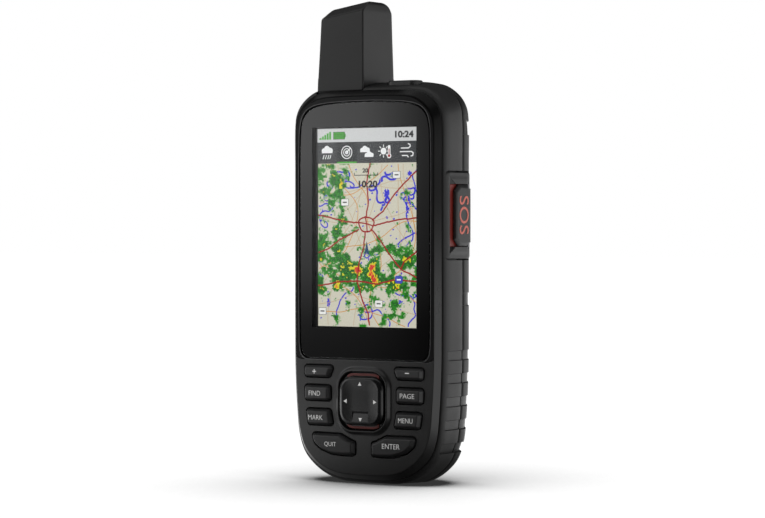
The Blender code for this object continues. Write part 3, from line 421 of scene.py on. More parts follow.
SLOT_MAT = {
    "shell_plastic": SHELL, "grip_rubber": RUBBER, "gloss_black": GLOSS, "lens_glass": LENSM,
    "display_glass": MASK, "key_rubber": KEYMAT, "alert_red": RED, "seal_rubber": SEAL,
    "screw_steel": STEEL, "shield_tin": TIN, "circuit_board": BOARDM, "battery_wrap": CELLM,
    "silicone": SILIC, "ceramic": CERAM, "lead_jacket": JACKET, "light_pipe": PIPE, "component_plastic": COMPO,
}
for sub in frame["record"]["subparts"]:
    obj = NODES[sub["node"]]
    obj.data.materials.clear()
    obj.data.materials.append(SLOT_MAT[sub["material_slot"]])
    for poly in obj.data.polygons:
        poly.material_index = 0

# ======================================================================= outlines
HALF_WIDTH, TOP_Z, BOTTOM_Z = 29.5, 132.3, 1.1
MID_Z, HALF_HEIGHT = 0.5 * (TOP_Z + BOTTOM_Z), 0.5 * (TOP_Z - BOTTOM_Z)
OUTLINE = (
    (0.0, 132.3), (10.0, 132.2), (17.0, 131.9), (21.4, 131.1), (24.9, 129.15),
    (27.5, 126.65), (29.05, 123.7), (29.6, 120.0), (29.65, 105.0), (29.65, 80.0),
    (29.65, 50.0), (29.5, 37.5), (28.8, 25.0), (27.8, 16.2), (25.6, 10.3),
    (21.6, 6.1), (16.6, 3.1), (10.8, 1.5), (5.0, 1.1),
)
LENS_OUTLINE = (
    (0.0, 128.3), (9.0, 128.1), (15.6, 127.7), (20.3, 126.9), (23.1, 125.5),
    (24.9, 123.4), (25.9, 120.0), (26.3, 112.0), (26.3, 80.0), (26.2, 52.0),
    (26.0, 45.8), (25.3, 43.3), (23.8, 42.0), (20.7, 41.7), (10.0, 41.7),
)


def smooth_loop(half, count, bend):
    ctrl = list(half) + [(-x, z) for x, z in reversed(half) if x > 0]
    n = len(ctrl)
    dense = []
    for i in range(n):
        p0, p1, p2, p3 = (Vector(ctrl[(i + k) % n]) for k in (-1, 0, 1, 2))
        t1 = math.sqrt((p1 - p0).length)
        t2 = t1 + math.sqrt((p2 - p1).length)
        t3 = t2 + math.sqrt((p3 - p2).length)
        for s in range(40):
            t = t1 + (t2 - t1) * s / 40
            a1 = p0 * ((t1 - t) / t1) + p1 * (t / t1)
            a2 = p1 * ((t2 - t) / (t2 - t1)) + p2 * ((t - t1) / (t2 - t1))
            a3 = p2 * ((t3 - t) / (t3 - t2)) + p3 * ((t - t2) / (t3 - t2))
            b1 = a1 * ((t2 - t) / t2) + a2 * (t / t2)
            b2 = a2 * ((t3 - t) / (t3 - t1)) + a3 * ((t - t1) / (t3 - t1))
            dense.append(b1 * ((t2 - t) / (t2 - t1)) + b2 * ((t - t1) / (t2 - t1)))
    m = len(dense)
    total, steps = 0.0, [0.0]
    for i in range(m):
        a, b, c = dense[i - 1], dense[i], dense[(i + 1) % m]
        total += (c - b).length + bend * (b - a).angle(c - b, 0.0)
        steps.append(total)
    out, j = [], 0
    for k in range(count):
        want = total * k / count
        while steps[j + 1] < want:
            j += 1
        f = (want - steps[j]) / max(steps[j + 1] - steps[j], 1e-9)
        out.append(dense[j].lerp(dense[(j + 1) % m], f))
    return out


BODY = smooth_loop(OUTLINE, 264, 30.0)
LENS = smooth_loop(LENS_OUTLINE, 160, 30.0)


def ring(depth, side, top=None, foot=None, floor=False):
    top = side if top is None else top
    foot = side if foot is None else foot
    pts = []
    for p in BODY:
        x = p.x * (1 + side / HALF_WIDTH)
        f = (p.y - MID_Z) / HALF_HEIGHT
        z = p.y + f * (top if f > 0 else foot)
        pts.append(at(x, depth, max(z, 0.0) if floor else z))
    return pts


def eased(stations, steps):
    """More stations between the given (depth, side, top, foot), on a smooth curve through them."""
    out = []
    n = len(stations)
    for i in range(n - 1):
        p0, p1 = stations[max(i - 1, 0)], stations[i]
        p2, p3 = stations[i + 1], stations[min(i + 2, n - 1)]
        for s in range(steps):
            t = s / steps
            out.append(tuple(
                0.5 * (2 * b + (c - a) * t + (2 * a - 5 * b + 4 * c - d) * t * t + (3 * b - a - 3 * c + d) * t ** 3)
                for a, b, c, d in zip(p0, p1, p2, p3)))
    out.append(tuple(stations[-1]))
    return out


def rounded(points, radius, steps=6):
    out, n = [], len(points)
    for i in range(n):
        a, b, c = (Vector(points[(i + k) % n]) for k in (-1, 0, 1))
        r = radius[i] if isinstance(radius, (list, tuple)) else radius
        u, v = (a - b).normalized(), (c - b).normalized()
        half = 0.5 * u.angle(v)
        reach = min(r / math.tan(half), 0.48 * (a - b).length, 0.48 * (c - b).length)
        real = reach * math.tan(half)
        centre = b + (u + v).normalized() * (real / math.sin(half))
        start, end = b + u * reach - centre, b + v * reach - centre
        sweep = start.angle_signed(end)
        for s in range(steps + 1):
            q = start.copy()
            q.rotate(Matrix.Rotation(-sweep * s / steps, 2))
            out.append((centre.x + q.x, centre.y + q.y))
    return out


def grown(points, amount):
    n = len(points)
    area2 = sum(points[i][0] * points[(i + 1) % n][1] - points[(i + 1) % n][0] * points[i][1] for i in range(n))
    sign = 1.0 if area2 > 0 else -1.0
    out = []
    for i in range(n):
        a, b, c = (Vector(points[(i + k) % n]) for k in (-1, 0, 1))
        e1, e2 = (b - a).normalized(), (c - b).normalized()
        n1 = Vector((e1.y, -e1.x)) * sign
        n2 = Vector((e2.y, -e2.x)) * sign
        m = (n1 + n2).normalized()
        out.append(tuple(b + m * (amount / max(m.dot(n1), 0.35))))
    return out


def rect(x0, x1, y0, y1):
    return [(x0, y0), (x1, y0), (x1, y1), (x0, y1)]


def circle(cx, cy, r, seg=48):
    return [(cx + r * math.cos(2 * math.pi * i / seg), cy + r * math.sin(2 * math.pi * i / seg)) for i in range(seg)]


# ======================================================================= mesh tools
def make(bm, name, mat=None):
    bmesh.ops.recalc_face_normals(bm, faces=bm.faces)
    mesh = bpy.data.meshes.new(name)
    bm.to_mesh(mesh)
    bm.free()
    obj = bpy.data.objects.new(name, mesh)
    COLL.objects.link(obj)
    if mat:
        mesh.materials.append(mat)
    return obj


def add_loft(bm, rings, fan_start=False, fan_end=False):
    rows = [[bm.verts.new(p) for p in r] for r in rings]
    n = len(rows[0])
    for a, b in zip(rows, rows[1:]):
        for i in range(n):
            bm.faces.new((a[i], a[(i + 1) % n], b[(i + 1) % n], b[i]))
    for row, fan in ((rows[0], fan_start), (rows[-1], fan_end)):
        if fan:
            middle = bm.verts.new(sum((v.co for v in row), Vector()) / n)
            for i in range(n):
                bm.faces.new((row[i], row[(i + 1) % n], middle))
        else:
            bm.faces.new(row)


def loft(name, rings, mat=None, fan_start=False, fan_end=False):
    bm = bmesh.new()
    add_loft(bm, rings, fan_start, fan_end)
    return make(bm, name, mat)


def sleeve(name, rings, mat=None):
    bm = bmesh.new()
    rows = [[bm.verts.new(p) for p in r] for r in rings]
    n = len(rows[0])
    for a, b in zip(rows, rows[1:] + rows[:1]):
        for i in range(n):
            bm.faces.new((a[i], a[(i + 1) % n], b[(i + 1) % n], b[i]))
    return make(bm, name, mat)


def place(plane, p, h):
    return at(p[0], h, p[1]) if plane == "front" else at(h, p[0], p[1]) if plane == "side" else at(p[0], p[1], h)


def add_stack(bm, plane, layers):
    add_loft(bm, [[place(plane, p, h) for p in pts] for pts, h in layers])


def stack(name, plane, layers, mat=None):
    bm = bmesh.new()
    add_stack(bm, plane, layers)
    return make(bm, name, mat)


def cutter(name, *stacks):
    bm = bmesh.new()
    for plane, layers in stacks:
        add_stack(bm, plane, layers)
    return make(bm, name)


def boolean(obj, other, operation="DIFFERENCE", keep=False):
    """Applied at once, so that the piece holds only its own finished mesh."""
    mod = obj.modifiers.new("b", "BOOLEAN")
    mod.operation, mod.solver, mod.object = operation, "EXACT", other
    bpy.context.view_layer.update()
    graph = bpy.context.evaluated_depsgraph_get()
    mats = list(obj.data.materials)
    mesh = bpy.data.meshes.new_from_object(obj.evaluated_get(graph))
    old = obj.data
    obj.modifiers.clear()
    obj.data = mesh
    mesh.name = obj.name
    mesh.materials.clear()
    for m in mats:
        mesh.materials.append(m)
    for poly in mesh.polygons:
        poly.material_index = min(poly.material_index, max(len(mats) - 1, 0))
    bpy.data.meshes.remove(old)
    if not keep:
        drop(other)
    return obj


def drop(obj):
    data = obj.data
    bpy.data.objects.remove(obj, do_unlink=True)
    bpy.data.meshes.remove(data)


def show(obj, body, nodes=(), angle=32.0, weighted=True):
    mesh = obj.data
    mesh.shade_smooth()
    mesh.set_sharp_from_angle(angle=math.radians(angle))
    if weighted:
        mod = obj.modifiers.new("normals", "WEIGHTED_NORMAL")
        mod.keep_sharp = True
        mod.weight = 60
    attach(obj, body)
    if nodes:
        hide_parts(*nodes)
    return obj


# ======================================================================= front shell
FACE = -2.2
KEY_SHAPES = {
    "key_zoom_in": [(-24.0, 39.25), (-12.1, 39.25), (-13.85, 35.35), (-23.9, 35.35)],
    "key_zoom_out": [(12.1, 39.25), (24.0, 39.25), (23.9, 35.35), (13.85, 35.35)],
    "key_find": [(-23.95, 32.5), (-13.45, 32.5), (-13.45, 27.4), (-23.8, 27.4)],
    "key_page": [(13.45, 32.5), (23.95, 32.5), (23.8, 27.4), (13.45, 27.4)],
    "key_mark": [(-23.4, 24.45), (-13.45, 24.45), (-12.4, 19.1), (-22.5, 19.1)],
    "key_menu": [(13.45, 24.45), (23.4, 24.45), (22.5, 19.1), (12.4, 19.1)],
    "key_quit": [(-21.2, 16.3), (-9.2, 16.2), (-4.9, 14.2), (-3.45, 13.9), (-3.45, 9.3), (-8.0, 9.15), (-12.6, 9.4), (-17.2, 10.8), (-19.9, 12.8)],
    "key_enter": [(21.2, 16.3), (9.2, 16.2), (4.9, 14.2), (3.45, 13.9), (3.45, 9.3), (8.0, 9.15), (12.6, 9.4), (17.2, 10.8), (19.9, 12.8)],
}
KEY_RADII = {
    "key_quit": [1.0, 1.8, 1.6, 0.9, 1.0, 2.4, 2.4, 2.4, 2.2],
    "key_enter": [1.0, 1.8, 1.6, 0.9, 1.0, 2.4, 2.4, 2.4, 2.2],
}
ROCKER_Z = 27.7


def key_loop(name, grow=0.0, steps=6):
    """A key's outline, moved out by grow, with its corners' radii following."""
    pts = KEY_SHAPES[name]
    radii = KEY_RADII.get(name, [1.0] * len(pts))
    return rounded(grown(pts, grow), [max(r + grow, 0.15) for r in radii], steps)


def u_region(half, low, radius, high=140.0):
    return rounded([(-half, low), (half, low), (half, high), (-half, high)], [radius, radius, 0.01, 0.01], 10)


def lens_points(grow):
    return [(p.x * (1 + grow / 26.3), 85.0 + (p.y - 85.0) * (1 + grow / 43.3)) for p in LENS]


def rocker_loop(hx, hz, r, steps=10):
    return [(x, z + ROCKER_Z) for x, z in rounded([(-hx, -hz), (hx, -hz), (hx, hz), (-hx, hz)], r, steps)]


front = loft("front_shell", [
    ring(1.1, -2.3), ring(10.9, -2.3), ring(10.9, -0.9), ring(0.2, -0.9), ring(0.2, -0.18), ring(0.13, -0.07),
    ring(0.04, -0.05), ring(-0.08, -0.08), ring(-0.22, -0.16), ring(-0.9, -0.64, -0.7, -0.68), ring(-1.5, -1.07, -1.2, -1.15),
    ring(-1.96, -1.40, -1.6, -1.52), ring(-2.08, -1.50, -1.72, -1.63), ring(-2.16, -1.62, -1.86, -1.76), ring(FACE, -1.82, -2.1, -2.0),
], FRAME)
ROCKER_HOLE = rocker_loop(9.5, 9.9, 5.6)
rim = sleeve("rim", [
    [at(x, -1.4, z) for x, z in ROCKER_HOLE],
    [at(x, -3.15, z) for x, z in ROCKER_HOLE],
    [at(x, -3.30, z) for x, z in grown(ROCKER_HOLE, 0.12)],
    [at(x, -3.34, z) for x, z in grown(ROCKER_HOLE, 0.3)],
    [at(x, -3.30, z) for x, z in grown(ROCKER_HOLE, 0.52)],
    [at(x, -3.15, z) for x, z in grown(ROCKER_HOLE, 0.7)],
    [at(x, -2.55, z) for x, z in grown(ROCKER_HOLE, 1.12)],
    [at(x, -2.32, z) for x, z in grown(ROCKER_HOLE, 1.4)],
    [at(x, -2.19, z) for x, z in grown(ROCKER_HOLE, 1.9)],
    [at(x, -1.4, z) for x, z in grown(ROCKER_HOLE, 1.9)],
])
boolean(front, rim, "UNION")
inner = [(p.x * (1 - 2.5 / HALF_WIDTH), MID_Z + (p.y - MID_Z) * (1 - 2.6 / HALF_HEIGHT)) for p in BODY]
room = cutter("room", ("front", [(inner, -0.4), (inner, 2.2)]))
boolean(room, cutter("limit", ("front", [(rect(-40, 40, 7.7, 40.9), -1.0), (rect(-40, 40, 7.7, 40.9), 4.0)])), "INTERSECT")
boolean(front, room)
key_cuts = []
for k in KEY_SHAPES:
    key_cuts.append(("front", [
        (key_loop(k, 0.66), -5.0), (key_loop(k, 0.66), -2.215), (key_loop(k, 0.48), -2.15), (key_loop(k, 0.37), -2.02),
        (key_loop(k, 0.33), -1.8), (key_loop(k, 0.33), 2.0)]))
boolean(front, cutter("key_cuts", *key_cuts))
upper = cutter("upper", ("front", [
    (u_region(29.9, 40.95, 5.0), -4.0), (u_region(29.9, 40.95, 5.0), -2.215), (u_region(29.8, 41.12, 4.9), -2.13),
    (u_region(29.6, 41.27, 4.7), -1.95), (u_region(29.6, 41.3, 4.6), -1.05)]))
boolean(upper, loft("upper_limit", [ring(-5.0, -1.66, -1.96, -1.86), ring(0.0, -1.66, -1.96, -1.86)]), "INTERSECT")
boolean(front, upper)
boolean(front, cutter("pocket", ("front", [(lens_points(0.3), -3.0), (lens_points(0.3), -0.05)])))
boolean(front, cutter("window", ("front", [(rect(-21.9, 21.9, 50.8, 121.2), -2.0), (rect(-21.9, 21.9, 50.8, 121.2), 3.0)])))
boolean(front, cutter("rocker", ("front", [(ROCKER_HOLE, -6.0), (ROCKER_HOLE, 3.0)])))
boolean(front, cutter("side_hole", ("side", [(rect(4.6, 7.8, 86.6, 93.4), 25.4), (rect(4.6, 7.8, 86.6, 93.4), 34.0)])))
boolean(front, cutter("top_holes", ("plan", [(circle(-11.7, 6.5, 1.5, 24), 126.0), (circle(-11.7, 6.5, 1.5, 24), 136.0)]),
                      ("plan", [(circle(11.0, 6.4, 1.6, 24), 126.0), (circle(11.0, 6.4, 1.6, 24), 136.0)])))
show(front, "case", ["front_case"])

# ======================================================================= lens, trim, mask
trim = loft("lens_bezel", [
    ring(-1.35, -1.76, -2.06, -1.96), ring(-1.98, -1.76, -2.06, -1.96), ring(-2.1, -1.80, -2.1, -2.0),
    ring(-2.17, -1.88, -2.18, -2.08), ring(-2.2, -2.02, -2.32, -2.2),
], TRIMM)
boolean(trim, cutter("limit", ("front", [(u_region(29.1, 41.45, 4.2), -4.0), (u_region(29.1, 41.45, 4.2), 0.0)])), "INTERSECT")
boolean(trim, cutter("hole", ("front", [
    (lens_points(0.42), -4.0), (lens_points(0.42), -2.22), (lens_points(0.33), -2.16), (lens_points(0.28), -2.06),
    (lens_points(0.28), 0.0)])))
show(trim, "case", ["lens_trim"])

lens = stack("cover_lens", "front", [
    (lens_points(0.0), -0.95), (lens_points(0.0), -1.9), (lens_points(-0.04), -1.98),
    (lens_points(-0.12), -2.03), (lens_points(-0.24), -2.05)], LENSM)
show(lens, "case", ["display_lens"])
# The ring round the lens is real relief, coloured lighter than the frame as a painted highlight along the edge.
edge = sleeve("lens_edge", [
    [at(x, -2.0, z) for x, z in lens_points(0.32)], [at(x, -2.27, z) for x, z in lens_points(0.36)], [at(x, -2.3, z) for x, z in lens_points(0.42)],
    [at(x, -2.3, z) for x, z in lens_points(0.48)], [at(x, -2.27, z) for x, z in lens_points(0.56)], [at(x, -2.0, z) for x, z in lens_points(0.6)]], EDGE_HIGHLIGHT_GREY)
show(edge, "case", angle=60)
mask = stack("lens_border", "front", [(lens_points(-0.25), -0.82), (lens_points(-0.25), -0.90)], MASK)
boolean(mask, cutter("view", ("front", [(rect(-20.25, 20.25, 52.45, 119.55), -2.0), (rect(-20.25, 20.25, 52.45, 119.55), 1.0)])))
show(mask, "case", angle=20)
cover = stack("lens_print", "front", [(lens_points(-0.25), -1.95), (lens_points(-0.25), -2.056), (lens_points(-0.27), -2.06)], PRINTM)
boolean(cover, cutter("view2", ("front", [(rect(-21.35, 21.35, 52.1, 119.9), -3.0), (rect(-21.35, 21.35, 52.1, 119.9), 1.0)])))
show(cover, "case", angle=20)

# ======================================================================= keys
KEY_TOP = -3.7
for k in KEY_SHAPES:
    obj = stack(k + "_cap", "front", [
        (key_loop(k, 0.8), 0.5), (key_loop(k, 0.8), -0.1), (key_loop(k), -0.1), (key_loop(k), -2.3), (key_loop(k, -0.06), -2.5),
        (key_loop(k, -0.62), -3.42), (key_loop(k, -0.72), -3.55), (key_loop(k, -0.86), -3.65), (key_loop(k, -1.04), -3.695), (key_loop(k, -1.25), KEY_TOP),
    ], KEYMAT)
    show(obj, k, [k], angle=40)


def legend(name, text, body, mat, centre, width, height, right, up, proud=0.03, thick=0.06, bold=0.0):
    """A printed word fitted into width x height, on the plane through centre."""
    curve = bpy.data.curves.new(name, "FONT")
    curve.body = text
    curve.size = 1.0
    curve.resolution_u = 4
    curve.offset = bold
    tmp = bpy.data.objects.new(name + "_tmp", curve)
    COLL.objects.link(tmp)
    bpy.context.view_layer.update()
    mesh = bpy.data.meshes.new_from_object(tmp.evaluated_get(bpy.context.evaluated_depsgraph_get()))
    bpy.data.objects.remove(tmp, do_unlink=True)
    bpy.data.curves.remove(curve)
    xs = [v.co.x for v in mesh.vertices]
    ys = [v.co.y for v in mesh.vertices]
    sx = width / (max(xs) - min(xs))
    sy = height / (max(ys) - min(ys))
    cx, cy = (max(xs) + min(xs)) / 2, (max(ys) + min(ys)) / 2
    right, up = Vector(right), Vector(up)
    out = right.cross(up)
    centre = Vector(centre)
    bm = bmesh.new()
    bm.from_mesh(mesh)
    bpy.data.meshes.remove(mesh)
    for v in bm.verts:
        v.co = centre + right * ((v.co.x - cx) * sx * MM) + up * ((v.co.y - cy) * sy * MM) + out * ((proud - thick) * MM)
    bmesh.ops.dissolve_limit(bm, angle_limit=0.01, verts=bm.verts, edges=bm.edges)
    made = bmesh.ops.extrude_face_region(bm, geom=list(bm.faces))
    for v in (g for g in made["geom"] if isinstance(g, bmesh.types.BMVert)):
        v.co += out * thick * MM
    bmesh.ops.recalc_face_normals(bm, faces=bm.faces)
    obj = make(bm, name, mat)
    obj.data.shade_flat()
    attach(obj, body)
    return obj


FRONT_R, FRONT_U = (1, 0, 0), (0, 0, 1)
for k, word, x, z, w, h in (
    ("key_find", "FIND", -19.2, 29.8, 4.7, 1.6), ("key_page", "PAGE", 18.4, 30.0, 5.7, 1.6),
    ("key_mark", "MARK", -18.8, 21.6, 5.9, 1.6), ("key_menu", "MENU", 17.7, 21.8, 5.7, 1.6),
    ("key_quit", "QUIT", -12.7, 12.7, 4.8, 1.7), ("key_enter", "ENTER", 11.9, 13.0, 7.0, 1.65),
):
    legend(k + "_legend", word, k, LEGEND, at(x, KEY_TOP, z), w, h, FRONT_R, FRONT_U, bold=-0.010)


def plates(name, polys, body, mat, depth, thick=0.05):
    """Flat marks from polygons in front view, as thin closed plates; several bodies in one piece."""
    bm = bmesh.new()
    for poly in polys:
        add_stack(bm, "front", [(poly, depth), (poly, depth - thick)])
    obj = make(bm, name, mat)
    obj.data.shade_flat()
    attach(obj, body)
    return obj


def bar(x0, x1, z0, z1):
    return rect(x0, x1, z0, z1)


plates("zoom_in_mark", [[(a - 19.3, b + 37.2) for a, b in (
    (-0.75, -0.15), (-0.15, -0.15), (-0.15, -0.75), (0.15, -0.75), (0.15, -0.15), (0.75, -0.15),
    (0.75, 0.15), (0.15, 0.15), (0.15, 0.75), (-0.15, 0.75), (-0.15, 0.15), (-0.75, 0.15))]], "key_zoom_in", LEGEND, KEY_TOP + 0.03)
plates("zoom_out_mark", [bar(17.53, 19.17, 37.44, 37.76)], "key_zoom_out", LEGEND, KEY_TOP + 0.03)

# ======================================================================= rocker
rg = stack("accent_ring", "front", [
    (rocker_loop(9.1, 9.5, 5.3), -1.5), (rocker_loop(9.1, 9.5, 5.3), -2.12), (rocker_loop(9.0, 9.4, 5.2), -2.24), (rocker_loop(8.8, 9.2, 5.0), -2.3)], PAD)
boolean(rg, cutter("ring_hole", ("front", [(circle(0, ROCKER_Z, 3.3), -4.0), (circle(0, ROCKER_Z, 3.3), 1.0)])))
show(rg, "rocker_tilt_frame", ["rocker_ring"])
for arc_name, low, high in (("accent_upper", 34.0, 40.0), ("accent_lower", 15.0, 21.4)):
    arc = sleeve(arc_name, [
        [at(x, -2.2, z) for x, z in rocker_loop(8.95, 9.32, 5.15)], [at(x, -2.52, z) for x, z in rocker_loop(8.95, 9.32, 5.15)],
        [at(x, -2.62, z) for x, z in rocker_loop(8.8, 9.2, 5.05)], [at(x, -2.62, z) for x, z in rocker_loop(8.1, 8.5, 4.45)],
        [at(x, -2.2, z) for x, z in rocker_loop(8.1, 8.5, 4.45)]], RED)
    boolean(arc, cutter("arc_limit", ("front", [
        ([(-6.4, low), (6.4, low), (6.4, high), (-6.4, high)], -4.0), ([(-6.4, low), (6.4, low), (6.4, high), (-6.4, high)], 0.0)])), "INTERSECT")
    show(arc, "rocker_tilt_frame", angle=40)

pad = stack("rocker_cap", "front", [
    (rocker_loop(8.7, 7.95, 4.3), -3.1), (rocker_loop(8.85, 8.1, 4.4), -3.25), (rocker_loop(8.85, 8.1, 4.4), -3.5),
    (rocker_loop(8.8, 8.05, 4.4), -3.7), (rocker_loop(8.66, 7.93, 4.3), -3.9), (rocker_loop(8.42, 7.76, 4.2), -4.1),
    (rocker_loop(8.12, 7.58, 4.05), -4.28), (rocker_loop(7.8, 7.4, 3.9), -4.42), (rocker_loop(7.5, 7.25, 3.7), -4.5),
    (rocker_loop(7.3, 7.12, 3.5), -4.52), (rocker_loop(7.1, 6.98, 3.3), -4.5),
    (rocker_loop(6.5, 6.4, 3.0), -4.47), (rocker_loop(5.6, 5.6, 2.6), -4.42), (rocker_loop(4.4, 4.6, 2.0), -4.37), (rocker_loop(3.0, 3.4, 1.4), -4.34)], PAD)
boolean(pad, cutter("thumb", ("side", [([(-4.32, 24.3), (-3.99, 23.6), (-4.5, 20.8), (-6.0, 20.8), (-6.0, 24.3)], -3.2), ([(-4.32, 24.3), (-3.99, 23.6), (-4.5, 20.8), (-6.0, 20.8), (-6.0, 24.3)], 3.2)])))
post = cutter("post", ("front", [(circle(0, ROCKER_Z, 2.4), 0.3), (circle(0, ROCKER_Z, 2.4), -3.4)]))
boolean(pad, post, "UNION")
show(pad, "rocker_pad", ["rocker_pad"], angle=24)
tri = []
for cx, cz, ux, uz in ((-0.1, 33.5, 0, 1), (0.1, 21.6, 0, -1), (-5.95, 27.6, -1, 0), (5.95, 27.6, 1, 0)):
    pts = [(0.72, 0.0), (-0.54, 0.68), (-0.54, -0.68)]
    tri.append([(cx + ux * a - uz * b, cz + uz * a + ux * b) for a, b in pts])
plates("rocker_marks", tri, "rocker_pad", LEGEND, -4.1, 0.42)

# ======================================================================= band and rear shell
SECTION = [
    (0.5, -0.05, 0.1, 0.3), (0.62, 0.42, 0.45, 0.62), (1.1, 0.98, 0.85, 0.95), (1.8, 1.24, 1.2, 1.25), (2.9, 1.4, 1.5, 1.45),
    (5.0, 1.45, 1.85, 1.45), (8.5, 1.42, 2.65, 1.8), (10.4, 1.25, 2.95, 2.05), (11.2, 1.05, 2.85, 2.1), (11.5, 0.9, 2.7, 1.95),
]
fine_section = eased(SECTION, 3)
band = sleeve("grip_sleeve", [ring(0.5, -0.5), ring(11.5, -0.5)] + [ring(d, s, t, f, True) for d, s, t, f in reversed(fine_section)], RUBBER)
REAR_SECTION = [
    (11.9, 0.9, 2.6, 1.95), (12.1, 1.1, 2.75, 2.1), (12.7, 1.2, 2.85, 2.2), (15.0, 0.9, 2.7, 2.3), (17.4, -0.25, 2.1, 2.1),
    (20.0, -1.95, 0.8, 1.3), (22.4, -3.65, -1.6, -0.6), (24.4, -5.85, -4.6, -3.9), (25.4, -8.2, -7.5, -7.0), (25.8, -10.6, -10.6, -10.0),
]
rear = loft("rear_shell", [
    ring(24.0, -10.0, -10.0, -9.0), ring(22.6, -6.4, -6.0, -6.0), ring(20.0, -4.2, -3.6, -3.6), ring(15.0, -2.7, -2.6, -2.6), ring(11.9, -2.4),
] + [ring(d, s, t, f, True) for d, s, t, f in eased(REAR_SECTION, 4)] + [ring(25.83, -12.5, -13.0, -12.5)], REAR)


def side_at(z):
    right = sorted((p for p in BODY if p.x > 12.0), key=lambda p: p.y)
    for a, b in zip(right, right[1:]):
        if a.y <= z <= b.y:
            return a.x + (b.x - a.x) * (z - a.y) / (b.y - a.y)
    return HALF_WIDTH


def groove(z0, z1, deep, start=1.7, flare=0.22):
    """A band across the side on both flanks, following the section; open towards the back."""
    stacks = []
    for sign in (1, -1):
        layers = []
        for z, cut in ((z0 - flare, -0.05), (z0 + 0.02, deep), (z1 - 0.02, deep), (z1 + flare, -0.05)):
            k = side_at(z) / HALF_WIDTH
            x = side_at(z)
            curve = [(start, 1.62 + 0.3), (start + 0.45, 1.5 - cut), (8.5, 1.45 - cut), (11.4, 1.05 - cut), (12.7, 1.15 - cut), (15.0, 0.8 - cut), (17.4, -0.35 - cut), (20.0, -1.95 - cut), (22.4, -3.65 - cut), (23.6, -5.0 + 1.0)]
            poly = [(sign * (x + s * k), d) for d, s in curve]
            poly += [(sign * (x + 8), 23.6), (sign * (x + 8), start)]
            layers.append((poly, z))
        stacks.append(("plan", layers))
    return stacks


groove_stacks = []
for zc in (43.4, 35.75, 28.0, 20.25, 12.4):
    groove_stacks += groove(zc - 1.5, zc + 1.5, 0.45)
notch_stacks = groove(60.0, 64.0, 0.7, start=13.2) + groove(117.2, 121.5, 0.8, start=13.2)
boolean(band, cutter("grooves", *groove_stacks))
boolean(rear, cutter("grooves", *groove_stacks))
boolean(rear, cutter("notches", *notch_stacks))

ANT_LEFT, ANT_RIGHT, ANT_FRONT, ANT_REAR = -21.3, -2.1, 0.7, 21.1
ANT_BASE = 132.4


def ant_section(grow, z_of, inset=(0.0, 0.0, 0.0, 0.0), rear=3.4, front=0.7, steps=8):
    """The antenna's plan at one level; inset is left, right, front, rear."""
    x0, x1 = ANT_LEFT - grow + inset[0], ANT_RIGHT + grow - inset[1]
    d0, d1 = ANT_FRONT - grow + inset[2], ANT_REAR + grow - inset[3]
    pts = rounded([(x0, d0), (x1, d0), (x1, d1), (x0, d1)], [front, front, rear, rear], steps)
    return [at(x, d, z_of(x, d)) for x, d in pts]


boolean(band, loft("ap", [ant_section(0.3, lambda x, d: 130.0), ant_section(0.3, lambda x, d: 140.0)]))
seat = loft("seat", [ant_section(g, lambda x, d, h=h: h) for g, h in ((1.3, 129.4), (1.3, 131.3), (1.26, 131.6), (1.15, 131.9), (1.0, 132.1), (0.75, 132.2))])
boolean(seat, cutter("seat_limit", ("front", [(rect(-30, 5, 125, 140), 12.4), (rect(-30, 5, 125, 140), 24.5)])), "INTERSECT")
boolean(rear, seat, "UNION")
boolean(rear, loft("ap", [ant_section(0.3, lambda x, d: 131.6), ant_section(0.3, lambda x, d: 140.0)]))
power_loop = rounded(rect(4.8, 17.2, 3.6, 9.6), 2.6, 8)
boolean(band, cutter("pp", ("plan", [(grown(power_loop, 0.3), 131.0), (grown(power_loop, 0.3), 134.3), (grown(power_loop, 0.55), 134.95), (grown(power_loop, 0.55), 140.0)])))
SOS_D0, SOS_D1, SOS_Z0, SOS_Z1 = 1.3, 16.4, 75.4, 104.6
sos_loop = rounded(rect(SOS_D0, SOS_D1, SOS_Z0, SOS_Z1), 1.0, 6)
for o in (band, rear):
    boolean(o, cutter("sp", ("side", [(grown(sos_loop, 0.3), 28.65), (grown(sos_loop, 0.3), 36.0)])))
USB_LOOP = rounded(rect(-8.6, 8.6, 18.8, 28.7), 1.6, 6)
boolean(rear, cutter("surround", ("front", [(rounded(rect(-10.0, 10.0, 17.4, 30.1), 2.4, 6), 21.6), (rounded(rect(-10.0, 10.0, 17.4, 30.1), 2.4, 6), 25.2)])), "UNION")
boolean(rear, cutter("surround2", ("front", [(circle(3.0, 114.5, 5.4), 22.2), (circle(3.0, 114.5, 5.4), 25.2)])), "UNION")
SCREWS = ((-18.5, 125.2), (18.5, 125.2), (-22.6, 46.0), (22.6, 46.0), (-12.0, 5.6), (12.0, 5.6))
boolean(rear, cutter("holes", ("front", [(rect(-5.4, 5.4, 20.7, 26.6), 20.0), (rect(-5.4, 5.4, 20.7, 26.6), 30.0)]),
                     ("front", [(circle(3.0, 114.5, 2.6), 20.0), (circle(3.0, 114.5, 2.6), 30.0)]),
                     ("front", [(circle(-11.0, 114.5, 0.8, 24), 20.0), (circle(-11.0, 114.5, 0.8, 24), 30.0)]),
                     *(("front", [(circle(0.0, z, 1.35, 24), 20.0), (circle(0.0, z, 1.35, 24), 30.0)]) for z in (64.0, 90.0))))
